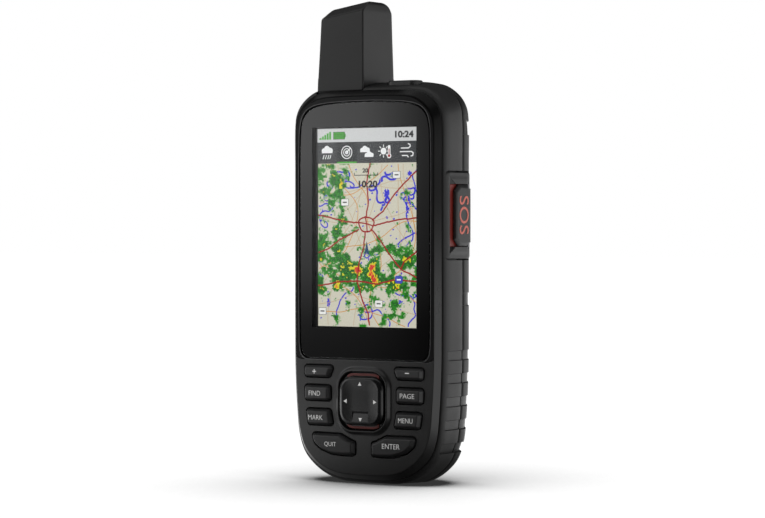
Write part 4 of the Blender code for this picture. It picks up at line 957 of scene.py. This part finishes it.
boolean(rear, cutter("pockets", *(("front", [(circle(x, z, 2.55, 32), 21.0), (circle(x, z, 2.55, 32), 30.0)]) for x, z in SCREWS),
                     ("front", [(circle(3.0, 114.5, 4.2), 23.4), (circle(3.0, 114.5, 4.2), 25.62), (circle(3.0, 114.5, 4.45), 25.9), (circle(3.0, 114.5, 4.45), 30.0)]),
                     ("front", [(USB_LOOP, 24.75), (USB_LOOP, 25.62), (grown(USB_LOOP, 0.25), 25.9), (grown(USB_LOOP, 0.25), 30.0)])))
show(band, "case", ["grip_band"], angle=38)
lip = sleeve("parting_lip", [ring(10.95, -0.62), ring(12.3, -0.62), ring(12.3, -2.3), ring(10.95, -2.3)], SEAL)
show(lip, "case", angle=40)
show(rear, "case", ["rear_case"], angle=38)

# ======================================================================= antenna
def ant_top(x, d):
    return 157.0 + 0.155 * (x + 19.6)


levels = [ant_section(-1.6, lambda x, d: ANT_BASE + 22.8, (0.8, 0.0, 0.0, 1.2), rear=2.4, front=0.4),
          ant_section(-1.6, lambda x, d: ANT_BASE, rear=2.4, front=0.4),
          ant_section(-0.15, lambda x, d: ANT_BASE), ant_section(0.0, lambda x, d: ANT_BASE + 0.2)]
ANT_REAR += 0.9
for f, h, extra in ((0.17, 136.5, 0.0), (0.18, 136.9, -0.06), (0.4, None, -0.06), (0.7, None, -0.04), (0.965, None, 0.0)):
    levels.append(ant_section(extra, lambda x, d, f=f, h=h: h or ANT_BASE + (ant_top(x, d) - ANT_BASE) * f, (1.7 * f, 0.1 * f, 0.0, 1.6 * f), front=0.5))
for rise, inset, rr, fr in (
    (-0.35, (1.72, 0.10, 0.05, 1.65), 3.4, 0.5), (0.0, (1.85, 0.12, 0.2, 1.8), 3.4, 0.5), (0.3, (2.05, 0.14, 0.55, 2.05), 3.3, 0.5),
    (1.0, (2.35, 0.2, 1.6, 2.6), 3.2, 0.5), (1.7, (2.55, 0.26, 2.6, 3.3), 3.1, 0.5), (2.2, (2.8, 0.34, 3.35, 4.1), 3.0, 0.5), (2.8, (3.2, 0.55, 4.2, 5.7), 2.8, 0.5),
    (3.03, (3.7, 0.8, 4.65, 6.9), 2.4, 0.5), (3.15, (4.7, 1.3, 5.2, 8.2), 1.8, 0.5)):
    levels.append(ant_section(0.0, lambda x, d, rise=rise: ant_top(x, d) + rise, inset, rear=rr, front=fr))
foot = loft("antenna_foot", [ant_section(-0.3, lambda x, d: 130.2), ant_section(-0.3, lambda x, d: 133.4)], SEAL)
show(foot, "case", angle=40)
ant = loft("antenna_shell", levels, ANT, fan_end=True)
show(ant, "case", ["antenna_housing"], angle=48)

# ======================================================================= power button
pb = stack("power_key", "plan", [
    (power_loop, 132.4), (power_loop, 134.9), (grown(power_loop, -0.08), 135.14), (grown(power_loop, -0.24), 135.3),
    (grown(power_loop, -0.5), 135.38), (grown(power_loop, -0.9), 135.4)], KEYMAT)
boolean(pb, cutter("stem", ("plan", [(circle(11.0, 6.4, 1.2, 32), 127.6), (circle(11.0, 6.4, 1.2, 32), 133.5)])), "UNION")
show(pb, "power_button", ["power_button"], angle=40)

# ======================================================================= emergency key group
sur = stack("emergency_panel", "side", [
    (sos_loop, 28.95), (sos_loop, 30.1), (rounded(rect(SOS_D0 + 0.06, SOS_D1 - 0.06, SOS_Z0 + 0.05, SOS_Z1 - 0.05), 1.0, 6), 30.3),
    (rounded(rect(SOS_D0 + 0.3, SOS_D1 - 0.5, SOS_Z0 + 0.15, SOS_Z1 - 0.15), 1.0, 6), 30.6),
    (rounded(rect(SOS_D0 + 0.9, SOS_D1 - 1.4, SOS_Z0 + 0.3, SOS_Z1 - 0.3), 1.0, 6), 30.9),
    (rounded(rect(SOS_D0 + 1.6, SOS_D1 - 2.4, SOS_Z0 + 0.5, SOS_Z1 - 0.5), 1.0, 6), 31.0)], RUBBER)
ramps = bmesh.new()
for sign in (1, -1):
    add_loft(ramps, [[at(x, d, 90.0 + sign * z) for d, z in pts] for x, pts in (
        (30.5, [(2.6, 9.0), (14.2, 9.0), (14.2, 13.5), (2.6, 13.5)]), (30.98, [(2.9, 9.0), (14.0, 9.0), (14.0, 13.2), (2.9, 13.2)]),
        (31.2, [(4.0, 9.0), (13.6, 9.0), (13.6, 12.4), (4.0, 12.4)]), (31.3, [(5.0, 9.0), (13.0, 9.0), (13.0, 11.9), (5.0, 11.9)]))])
boolean(sur, make(ramps, "ramps"), "UNION")


def mouth(front, tip, edge, rear, end):
    """The recess's outline: a slanted corner from its front tip to the cap's edge."""
    return [(front, 90 - tip), (edge, 90 - end), (rear, 90 - end), (rear, 90 + end), (edge, 90 + end), (front, 90 + tip)]


boolean(sur, cutter("room", ("side", [
    (mouth(3.1, 10.8, 6.3, 13.6, 10.8), 28.0), (mouth(3.1, 10.8, 6.3, 13.6, 10.8), 30.2), (mouth(4.2, 10.35, 6.2, 13.9, 10.5), 30.22),
    (mouth(2.75, 12.75, 6.0, 14.2, 10.5), 31.02), (mouth(2.75, 12.75, 6.0, 14.2, 10.5), 34.0)])))
boolean(sur, cutter("hinge", ("front", [(rect(28.0, 33.0, 80.6, 99.4), 13.0), (rect(28.0, 33.0, 80.6, 99.4), 15.9)])))
HX, HD = 30.55, 14.7
boolean(sur, cutter("pin", ("plan", [(circle(HX, HD, 0.62, 24), 79.0), (circle(HX, HD, 0.62, 24), 101.0)])))
show(sur, "case", ["sos_surround"], angle=40)
sb = stack("emergency_key", "side", [
    (rounded(rect(3.45, 12.9, 79.6, 100.4), 1.0, 6), 29.45), (rounded(rect(3.45, 12.9, 79.6, 100.4), 1.0, 6), 30.0),
    (rounded(rect(3.55, 12.8, 79.7, 100.3), 0.9, 6), 30.1), (rounded(rect(3.7, 12.6, 79.9, 100.1), 0.8, 6), 30.15)], RED)
boolean(sb, cutter("stem", ("front", [(rect(26.3, 29.8, 87.2, 92.8), 5.1), (rect(26.3, 29.8, 87.2, 92.8), 7.3)])), "UNION")
show(sb, "sos_button", ["sos_button"])
cap_plan = [(30.45, 6.0), (31.2, 5.85), (31.6, 5.95), (31.88, 6.25), (32.0, 6.75), (32.0, 13.6), (31.92, 14.1), (31.7, 14.6), (31.55, 15.0), (31.2, 15.5), (30.55, 15.72), (29.9, 15.4), (29.56, 14.7), (29.9, 13.9), (30.45, 13.3)]
cap = stack("emergency_cap", "plan", [(cap_plan, 79.7), (cap_plan, 100.3)], RUBBER)
cap_front = [(5.7, 82.2), (8.3, 79.7), (16.5, 79.7), (16.5, 100.3), (8.3, 100.3), (5.7, 97.8)]
cap_in = [(5.75, 82.6), (8.4, 80.3), (16.5, 80.3), (16.5, 99.7), (8.4, 99.7), (5.75, 97.4)]
cap_out = [(6.1, 83.1), (8.7, 81.3), (16.5, 81.3), (16.5, 98.7), (8.7, 98.7), (6.1, 96.9)]
boolean(cap, cutter("cap_limit", ("side", [(cap_front, 28.0), (cap_front, 31.05), (cap_in, 31.75), (cap_out, 32.1)])), "INTERSECT")
boolean(cap, cutter("cap_ends", ("front", [(rect(28.0, 33.0, 70.0, 81.0), 12.95), (rect(28.0, 33.0, 70.0, 81.0), 17.0)]),
                    ("front", [(rect(28.0, 33.0, 99.0, 110.0), 12.95), (rect(28.0, 33.0, 99.0, 110.0), 17.0)])))
boolean(cap, cutter("cap_pin", ("plan", [(circle(HX, HD, 0.6, 24), 78.0), (circle(HX, HD, 0.6, 24), 102.0)])))
show(cap, "sos_cap", ["sos_cap"], angle=40)
legend("emergency_legend", "SOS", "sos_cap", SOSRED, at(32.0, 10.2, 90.1), 12.8, 5.6, (0, 0, -1), (0, 1, 0), proud=0.10, thick=0.25)

# ======================================================================= rear fittings
cov = stack("weather_cover", "front", [
    (rounded(rect(-8.25, 8.25, 19.1, 28.35), 1.4, 6), 25.05), (rounded(rect(-8.25, 8.25, 19.1, 28.35), 1.4, 6), 25.9),
    (rounded(rect(-8.15, 8.15, 19.2, 28.25), 1.35, 6), 26.14), (rounded(rect(-7.9, 7.9, 19.45, 28.0), 1.2, 6), 26.3), (rounded(rect(-7.5, 7.5, 19.85, 27.6), 1.0, 6), 26.35)], RUBBER)
boolean(cov, cutter("plug", ("front", [(rect(-4.9, 4.9, 21.2, 25.5), 22.9), (rect(-4.9, 4.9, 21.2, 25.5), 25.4)])), "UNION")
boolean(cov, cutter("nick", ("front", [(rounded(rect(-3.2, 3.2, 26.5, 27.4), 0.4, 5), 26.1), (rounded(rect(-3.2, 3.2, 26.5, 27.4), 0.4, 5), 27.0)])))
show(cov, "usb_cover", ["usb_cover"], angle=40)

spine_plan = [(-9.0, 26.1), (9.0, 26.1), (9.0, 27.0), (8.7, 27.25), (5.2, 27.55), (4.6, 27.9), (4.6, 28.7), (4.8, 28.9), (7.0, 28.9), (7.2, 29.1), (7.2, 30.1), (6.9, 30.4),
              (-6.9, 30.4), (-7.2, 30.1), (-7.2, 29.1), (-7.0, 28.9), (-4.8, 28.9), (-4.6, 28.7), (-4.6, 27.9), (-5.2, 27.55), (-8.7, 27.25), (-9.0, 27.0)]
spine = stack("rear_rail", "plan", [(spine_plan, 58.0), (spine_plan, 96.0)], SHELL)
sp = rounded(rect(-9.0, 9.0, 58.0, 96.0), 4.5, 10)
boolean(spine, cutter("ends", ("front", [(sp, 25.0), (sp, 30.1), (grown(sp, -0.35), 30.45), (grown(sp, -0.35), 32.0)])), "INTERSECT")
boolean(spine, cutter("h1", *(("front", [(circle(0.0, z, 1.35, 24), 25.0), (circle(0.0, z, 1.35, 24), 32.0)]) for z in (64.0, 90.0))))
boolean(spine, cutter("h2", *(("front", [(circle(0.0, z, 2.45, 32), 28.4), (circle(0.0, z, 2.45, 32), 30.15), (circle(0.0, z, 2.75, 32), 30.45), (circle(0.0, z, 2.75, 32), 32.0)]) for z in (64.0, 90.0))))
show(spine, "case", ["mounting_spine"], angle=38)


def screw(name, node, x, z, head0, head1, r, shank0):
    obj = stack(name, "front", [
        (circle(x, z, 1.0, 32), shank0), (circle(x, z, 1.05, 32), shank0 + 0.3), (circle(x, z, 1.05, 32), head0), (circle(x, z, r, 32), head0),
        (circle(x, z, r, 32), head1 - 0.45), (circle(x, z, r - 0.1, 32), head1 - 0.18), (circle(x, z, r - 0.32, 32), head1)], STEEL)
    star = [(x + (1.15 if i % 2 == 0 else 0.78) * math.cos(math.pi * i / 6), z + (1.15 if i % 2 == 0 else 0.78) * math.sin(math.pi * i / 6)) for i in range(12)]
    boolean(obj, cutter("star", ("front", [(star, head1 - 0.8), (star, head1 + 1.0)])))
    show(obj, "case", [node], angle=35)


for (x, z), n in zip(SCREWS, ("upper_left", "upper_right", "middle_left", "middle_right", "lower_left", "lower_right")):
    screw("case_bolt_" + n, "case_screw_" + n, x, z, 21.3, 22.9, 2.2, 8.0)
for n, z in (("lower", 64.0), ("upper", 90.0)):
    screw("rail_bolt_" + n, "spine_screw_" + n, 0.0, z, 28.7, 30.0, 2.1, 22.0)

lampl = stack("lamp_window", "front", [
    (circle(3, 114.5, 2.2), 5.7), (circle(3, 114.5, 2.2), 23.75), (circle(3, 114.5, 3.9), 23.75), (circle(3, 114.5, 3.9), 25.3),
    (circle(3, 114.5, 3.8), 25.55), (circle(3, 114.5, 3.5), 25.8), (circle(3, 114.5, 2.9), 25.95), (circle(3, 114.5, 1.8), 26.0)], PIPE)
show(lampl, "case", ["flashlight_lens"], angle=50)

# ======================================================================= display
SCR_X, SCR_Z0, SCR_Z1 = 20.2, 52.5, 119.5
panel = stack("panel_glass", "front", [
    (rounded(rect(-21.2, 21.2, 50.9, 120.9), 0.5, 4), 1.6), (rounded(rect(-21.2, 21.2, 50.9, 120.9), 0.5, 4), 0.1),
    (rounded(rect(-21.05, 21.05, 51.05, 120.75), 0.5, 4), 0.0)], MASK)
show(panel, "case", ["display_panel"], angle=20)

INK = {
    "land": srgb(207, 203, 184), "land_dim": srgb(196, 198, 172), "bar": srgb(205, 206, 205), "tabs": srgb(50, 52, 54),
    "tab_on": srgb(28, 30, 32), "green_line": srgb(70, 165, 50), "water": srgb(42, 42, 200), "river": srgb(42, 42, 200),
    "road_red": srgb(152, 8, 14), "road_orange": srgb(206, 140, 52), "road_thin": srgb(190, 160, 120),
    "w_pale": srgb(150, 176, 132), "w_green": srgb(34, 130, 18), "w_dark": srgb(12, 92, 14), "w_yellow": srgb(214, 208, 24), "w_orange": srgb(228, 132, 36),
    "w_red": srgb(204, 48, 30), "white": srgb(240, 241, 240), "black": srgb(24, 24, 24), "blue": srgb(60, 70, 180),
    "sun": srgb(240, 240, 238), "grey": srgb(150, 154, 158), "teal": srgb(26, 70, 104), "shield": srgb(236, 236, 232),
}
INK_MAT = {k: glowing("screen_" + k, v) for k, v in INK.items()}


class Layer:
    """Flat closed plates in one colour, at one height in front of the panel."""

    def __init__(self, name, ink, level):
        self.name, self.ink, self.level, self.bm = name, ink, level, bmesh.new()

    def poly(self, pts):
        h = -0.04 * self.level
        add_stack(self.bm, "front", [(pts, h - 0.012), (pts, h - 0.042)])

    def line(self, pts, width):
        for a, b in zip(pts, pts[1:]):
            a, b = Vector(a), Vector(b)
            d = b - a
            if d.length < 1e-4:
                continue
            d = d.normalized()
            n = Vector((-d.y, d.x)) * (width / 2)
            e = d * (width * 0.35)
            self.poly([tuple(a - e - n), tuple(b + e - n), tuple(b + e + n), tuple(a - e + n)])

    def end(self):
        obj = make(self.bm, self.name, INK_MAT[self.ink])
        obj.data.shade_flat()
        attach(obj, "case")


rng = random.Random(20)
MAP_Z1 = 107.7
lay = Layer("map_land", "land", 0)
lay.poly(rect(-SCR_X, SCR_X, SCR_Z0, MAP_Z1))
lay.end()


def inside(x, z):
    return -SCR_X + 0.3 < x < SCR_X - 0.3 and SCR_Z0 + 0.3 < z < MAP_Z1 - 0.3


def wander(start, heading, length, step, wobble, seed):
    """A random winding path, kept on the map."""
    r = random.Random(seed)
    x, z = start
    out = [(x, z)]
    turn = 0.0
    for _ in range(int(length / step)):
        turn = 0.75 * turn + r.uniform(-wobble, wobble)
        heading += turn
        x += step * math.cos(heading)
        z += step * math.sin(heading)
        if not inside(x, z):
            break
        out.append((x, z))
    return out


lay = Layer("map_lakes", "water", 1)
for cx, cz, rx, rz, sd in ((-12.5, 101.5, 1.3, 1.0, 3), (7.8, 97.0, 1.1, 1.8, 5), (-9.0, 94.0, 0.9, 0.7, 9), (16.2, 92.0, 0.8, 1.5, 12), (5.6, 102.0, 0.8, 0.7, 13),
                           (-15.8, 60.5, 0.8, 1.3, 15), (12.6, 61.0, 1.6, 0.7, 17), (-3.0, 56.5, 1.2, 0.5, 19), (17.0, 104.0, 0.9, 0.8, 20), (-17.6, 76.0, 0.7, 1.0, 26)):
    r = random.Random(sd)
    pts = []
    for i in range(26):
        t = 2 * math.pi * i / 26
        k = 0.55 + 0.75 * r.random()
        pts.append((cx + rx * k * math.cos(t), cz + rz * k * math.sin(t)))
    lay.poly(pts)
for s0, hd, ln, w, wob, sd in (
    ((-19.7, 99.0), -0.5, 34, 0.42, 0.55, 21), ((19.7, 98.0), 3.6, 30, 0.46, 0.55, 22), ((7.2, 104.5), -1.55, 40, 0.62, 0.5, 23), ((-10.5, 104.0), -1.3, 34, 0.5, 0.52, 33),
    ((-19.7, 64.0), 0.5, 26, 0.42, 0.5, 24), ((9.0, 53.0), 1.3, 30, 0.42, 0.5, 25), ((19.7, 84.0), 2.8, 26, 0.42, 0.55, 27), ((19.7, 73.0), 3.3, 24, 0.42, 0.55, 28),
    ((-12.0, 53.0), 1.7, 30, 0.4, 0.5, 29), ((15.8, 93.5), 2.0, 18, 0.55, 0.6, 30), ((-17.5, 88.0), 0.3, 24, 0.4, 0.55, 31), ((16.5, 53.0), 1.9, 26, 0.42, 0.5, 32),
    ((-19.7, 74.0), 0.2, 20, 0.36, 0.55, 34), ((2.0, 78.0), -1.2, 24, 0.4, 0.5, 35), ((-7.0, 100.0), -0.6, 16, 0.42, 0.55, 36), ((19.7, 105.0), 3.9, 18, 0.4, 0.55, 37),
):
    lay.line(wander(s0, hd, ln, 0.45, wob * 0.62, sd), w * 1.1)
r = random.Random(77)
for _ in range(120):
    x, z = r.uniform(-19.2, 19.2), r.uniform(53.5, 106.5)
    a = r.uniform(0.16, 0.5)
    lay.poly([(x - a, z), (x, z - a * r.uniform(0.5, 1.2)), (x + a, z + 0.1), (x + 0.1, z + a * r.uniform(0.5, 1.2))])
lay.end()

lay = Layer("map_minor_roads", "road_thin", 2)
for s0, hd, ln, sd in (((-19.7, 103.0), -0.25, 40, 31), ((-12.0, 107.2), -1.35, 60, 32), ((6.0, 107.2), -1.75, 60, 33), ((14.5, 107.2), -1.6, 60, 34),
                       ((-19.7, 89.0), -0.1, 42, 35), ((-19.7, 78.0), 0.18, 42, 36), ((-19.7, 60.0), 0.12, 42, 37), ((19.7, 93.0), 3.5, 40, 38), ((-16.0, 53.0), 1.7, 50, 39), ((12.0, 53.0), 1.5, 50, 40),
                       ((19.7, 101.5), 3.2, 40, 41), ((-5.5, 53.0), 1.5, 52, 42), ((19.7, 57.0), 3.05, 40, 43)):
    lay.line(wander(s0, hd, ln, 0.9, 0.05, sd), 0.15)
lay.end()

lay = Layer("map_roads", "road_orange", 3)
for s0, hd, ln, sd in (((-19.7, 72.0), 0.5, 50, 51), ((-7.5, 107.2), -1.2, 60, 52), ((19.7, 88.0), 3.0, 44, 53), ((1.0, 53.0), 1.9, 56, 54), ((19.7, 61.0), 2.6, 40, 55),
                       ((12.5, 107.2), -1.57, 54, 56), ((-19.7, 98.5), -0.05, 40, 57), ((-19.7, 57.5), 0.0, 40, 58)):
    lay.line(wander(s0, hd, ln, 0.8, 0.06, sd), 0.24)
lay.end()

lay = Layer("map_motorways", "road_red", 4)
HUB = (-0.3, 87.0)
for way in (
    [(-19.9, 90.2), (-15.0, 89.4), (-10.5, 88.3), (-6.0, 87.7), (-3.0, 87.6)],
    [(-19.9, 77.5), (-15.5, 79.0), (-11.0, 82.0), (-7.0, 83.6), (-3.4, 85.3)],
    [(2.2, 88.5), (6.5, 91.5), (10.0, 96.0), (13.5, 99.5), (19.9, 104.8)],
    [(2.6, 86.6), (8.0, 87.8), (13.0, 88.6), (19.9, 89.2)],
    [(2.0, 85.2), (6.0, 81.0), (9.0, 77.0), (13.6, 72.0), (19.9, 69.4)],
    [(-0.8, 84.3), (-1.4, 79.0), (-3.4, 73.5), (-4.0, 68.0), (-2.0, 61.5), (0.5, 57.0), (1.0, 52.6)],
    [(-19.9, 66.2), (-12.0, 67.5), (-4.0, 68.0), (4.0, 67.0), (12.0, 68.6), (19.9, 68.0)],
    [(-0.4, 89.8), (0.6, 95.0), (-0.2, 101.0), (1.2, 107.6)],
    [(19.9, 78.0), (15.0, 74.5), (13.6, 72.0)],
):
    fine = []
    r = random.Random(int(abs(way[0][0] * 7 + way[0][1] * 3)))
    for a, b in zip(way, way[1:]):
        for i in range(6):
            t = i / 6
            fine.append((a[0] + (b[0] - a[0]) * t + r.uniform(-0.12, 0.12), a[1] + (b[1] - a[1]) * t + r.uniform(-0.12, 0.12)))
    fine.append(way[-1])
    lay.line([q for q in fine if abs(q[0]) <= 20.0 and SCR_Z0 + 0.2 < q[1] < MAP_Z1], 0.5)
ring_road = [(HUB[0] + 3.0 * (1 + 0.12 * math.sin(3 * t)) * math.cos(t), HUB[1] + 2.7 * (1 + 0.1 * math.cos(2 * t)) * math.sin(t)) for t in [2 * math.pi * i / 30 for i in range(31)]]
lay.line(ring_road, 0.5)
lay.line([(HUB[0] - 2.8, HUB[1] + 0.6), (HUB[0], HUB[1] + 0.3), (HUB[0] + 2.9, HUB[1] - 0.5)], 0.45)
lay.line([(HUB[0] - 0.5, HUB[1] + 2.7), (HUB[0] + 0.2, HUB[1]), (HUB[0] + 0.3, HUB[1] - 2.6)], 0.45)
lay.end()


def cloud(x, z):
    """Strength of the weather at a point of the map, in blocky cells."""
    v = noise.fractal(Vector((x * 0.24, z * 0.26, 5.3)), 0.62, 2.2, 5, noise_basis="PERLIN_ORIGINAL")
    belt = math.exp(-((z - 70.0 - 0.10 * x) / 7.5) ** 2)
    core = math.exp(-((z - 67.0) / 6.5) ** 2 - ((x + 1.0) / 9.0) ** 2)
    flank = math.exp(-((x + 15.0) / 7.0) ** 2) * min(max((z - 70.0) / 8.0, 0.0), 1.0)
    return 0.44 * v + 0.36 * belt + 0.26 * core + 0.30 * flank


CELL = 0.42
grid = {}
nx = int(2 * SCR_X / CELL)
nz = int((MAP_Z1 - SCR_Z0) / CELL)
for j in range(nz):
    for i in range(nx):
        x, z = -SCR_X + (i + 0.5) * CELL, SCR_Z0 + (j + 0.5) * CELL
        grid[i, j] = cloud(x, z)
for name, ink, low, high, level in (("weather_mist", "w_pale", 0.22, 0.28, 2.5), ("weather_light", "w_green", 0.28, 0.42, 3.5), ("weather_steady", "w_dark", 0.42, 0.58, 3.5), ("weather_heavy", "w_yellow", 0.58, 0.68, 3.5),
                                    ("weather_storm", "w_orange", 0.68, 0.74, 3.5), ("weather_severe", "w_red", 0.74, 9.0, 3.5)):
    lay = Layer(name, ink, level)
    for j in range(nz):
        i = 0
        while i < nx:
            if low <= grid[i, j] < high:
                k = i
                while k < nx and low <= grid[k, j] < high:
                    k += 1
                x0, x1 = -SCR_X + i * CELL, -SCR_X + k * CELL
                z0 = SCR_Z0 + j * CELL
                lay.poly(rect(x0, min(x1, SCR_X), z0, z0 + CELL))
                i = k
            else:
                i += 1
    lay.end()

BADGES = ((12.0, 103.6), (4.8, 60.4), (-18.2, 57.6), (-9.0, 94.5))
lay = Layer("map_badges", "shield", 7)
for x, z in BADGES:
    lay.poly(rounded(rect(x - 1.5, x + 1.5, z - 1.15, z + 1.15), 0.6, 4))
lay.end()
lay = Layer("map_badge_marks", "black", 8)
for x, z in BADGES:
    lay.poly(rect(x - 0.8, x + 0.8, z - 0.2, z + 0.2))
    lay.line([(x - 1.5, z - 1.15), (x + 1.5, z - 1.15), (x + 1.5, z + 1.15), (x - 1.5, z + 1.15), (x - 1.5, z - 1.15)], 0.12)
lay.end()
lay = Layer("map_badge_route", "blue", 7)
lay.poly(rounded(rect(11.4, 14.4, 67.3, 69.9), 0.7, 4))
lay.end()
lay = Layer("map_badge_route_mark", "white", 8)
lay.poly(rect(12.1, 13.7, 68.3, 68.8))
lay.end()
lay = Layer("position_arrow", "teal", 9)
lay.poly([(-1.1, 76.6), (0.0, 81.4), (1.1, 76.6), (0.0, 77.5)])
lay.end()
lay = Layer("scale_bar", "black", 9)
lay.poly(rect(-5.2, 4.6, 103.5, 103.75))
lay.poly(rect(-5.2, -4.95, 103.5, 104.5))
lay.poly(rect(4.35, 4.6, 103.5, 104.5))
lay.end()

lay = Layer("tab_strip", "tabs", 10)
lay.poly(rect(-SCR_X, SCR_X, MAP_Z1, 114.9))
lay.end()
lay = Layer("tab_chosen", "tab_on", 11)
lay.poly(rect(-12.1, -4.0, MAP_Z1, 114.9))
lay.end()
lay = Layer("tab_underline", "green_line", 12)
lay.poly(rect(-12.1, -4.0, MAP_Z1, MAP_Z1 + 0.55))
lay.end()
lay = Layer("status_strip", "bar", 10)
lay.poly(rect(-SCR_X, SCR_X, 114.9, SCR_Z1))
lay.end()
lay = Layer("status_green", "green_line", 12)
for i in range(5):
    lay.poly(rect(-19.3 + i * 1.0, -18.55 + i * 1.0, 115.8, 116.4 + i * 0.52))
lay.poly(rect(-13.5, -8.9, 115.9, 118.3))
lay.poly(rect(-8.9, -8.5, 116.5, 117.7))
lay.end()
lay = Layer("status_dark", "black", 13)
for i in range(5):
    lay.poly(rect(-12.9 + i * 0.82, -12.72 + i * 0.82, 116.2, 118.0))
lay.line([(-13.5, 115.9), (-8.9, 115.9), (-8.9, 118.3), (-13.5, 118.3), (-13.5, 115.9)], 0.16)
lay.end()


def puff(cx, cz, r):
    """A cloud's outline."""
    pts = [(cx - 1.6 * r, cz - 0.6 * r)]
    for bx, bz, br, a0, a1 in ((-0.95, -0.05, 0.62, 3.5, 1.35), (-0.1, 0.35, 0.78, 2.6, 0.6), (0.95, 0.0, 0.62, 1.6, -0.6)):
        for i in range(9):
            t = a0 + (a1 - a0) * i / 8
            pts.append((cx + r * (bx + br * math.cos(t)), cz + r * (bz + br * math.sin(t))))
    pts.append((cx + 1.5 * r, cz - 0.6 * r))
    return pts


lay = Layer("tab_icons_white", "white", 13)
lay.poly(puff(-16.1, 112.1, 1.45))
for x in (-17.4, -16.4, -15.4, -14.6):
    lay.line([(x, 110.5), (x - 0.45, 109.3)], 0.28)
for r0, w in ((0.45, 0.4), (1.25, 0.26), (2.1, 0.3)):
    lay.line([(-8.05 + r0 * math.cos(2 * math.pi * i / 24), 111.4 + r0 * math.sin(2 * math.pi * i / 24)) for i in range(25)], w)
lay.line([(-8.05, 111.4), (-6.5, 112.9)], 0.34)
lay.poly(puff(-0.6, 112.1, 1.25))
lay.poly(puff(1.1, 110.4, 1.15))
lay.poly([(6.9 + 1.15 * math.cos(2 * math.pi * i / 20), 111.6 + 1.15 * math.sin(2 * math.pi * i / 20)) for i in range(20)])
for i in range(8):
    t = math.pi * i / 4
    lay.line([(6.9 + 1.5 * math.cos(t), 111.6 + 1.5 * math.sin(t)), (6.9 + 2.1 * math.cos(t), 111.6 + 2.1 * math.sin(t))], 0.28)
lay.line([(14.0, 112.5), (16.9, 112.5), (17.6, 113.0), (17.5, 113.7), (16.8, 113.9)], 0.36)
lay.line([(13.6, 111.3), (18.1, 111.3), (18.8, 110.8), (18.6, 110.0), (17.9, 109.8)], 0.36)
lay.line([(14.4, 110.0), (16.4, 110.0), (16.8, 109.5)], 0.36)
lay.end()
lay = Layer("tab_icons_glass", "white", 14)
lay.poly(rounded(rect(8.7, 9.7, 110.2, 113.6), 0.45, 4))
lay.poly([(9.2 + 0.85 * math.cos(2 * math.pi * i / 18), 110.0 + 0.85 * math.sin(2 * math.pi * i / 18)) for i in range(18)])
lay.end()
lay = Layer("tab_icons_red", "road_red", 15)
lay.poly(rect(9.03, 9.37, 110.2, 112.4))
lay.poly([(9.2 + 0.5 * math.cos(2 * math.pi * i / 16), 110.0 + 0.5 * math.sin(2 * math.pi * i / 16)) for i in range(16)])
lay.end()

for name, text, x, z, w, h, ink in (("clock_digits", "10:24", 15.2, 117.15, 7.4, 2.3, "black"), ("map_clock_digits", "10:20", 0.6, 100.6, 7.6, 2.4, "black"), ("scale_digits", "20", -0.5, 105.2, 2.3, 1.5, "black")):
    legend(name, text, "case", INK_MAT[ink], at(x, -0.52, z), w, h, FRONT_R, FRONT_U, proud=0.0, thick=0.03, bold=0.04)
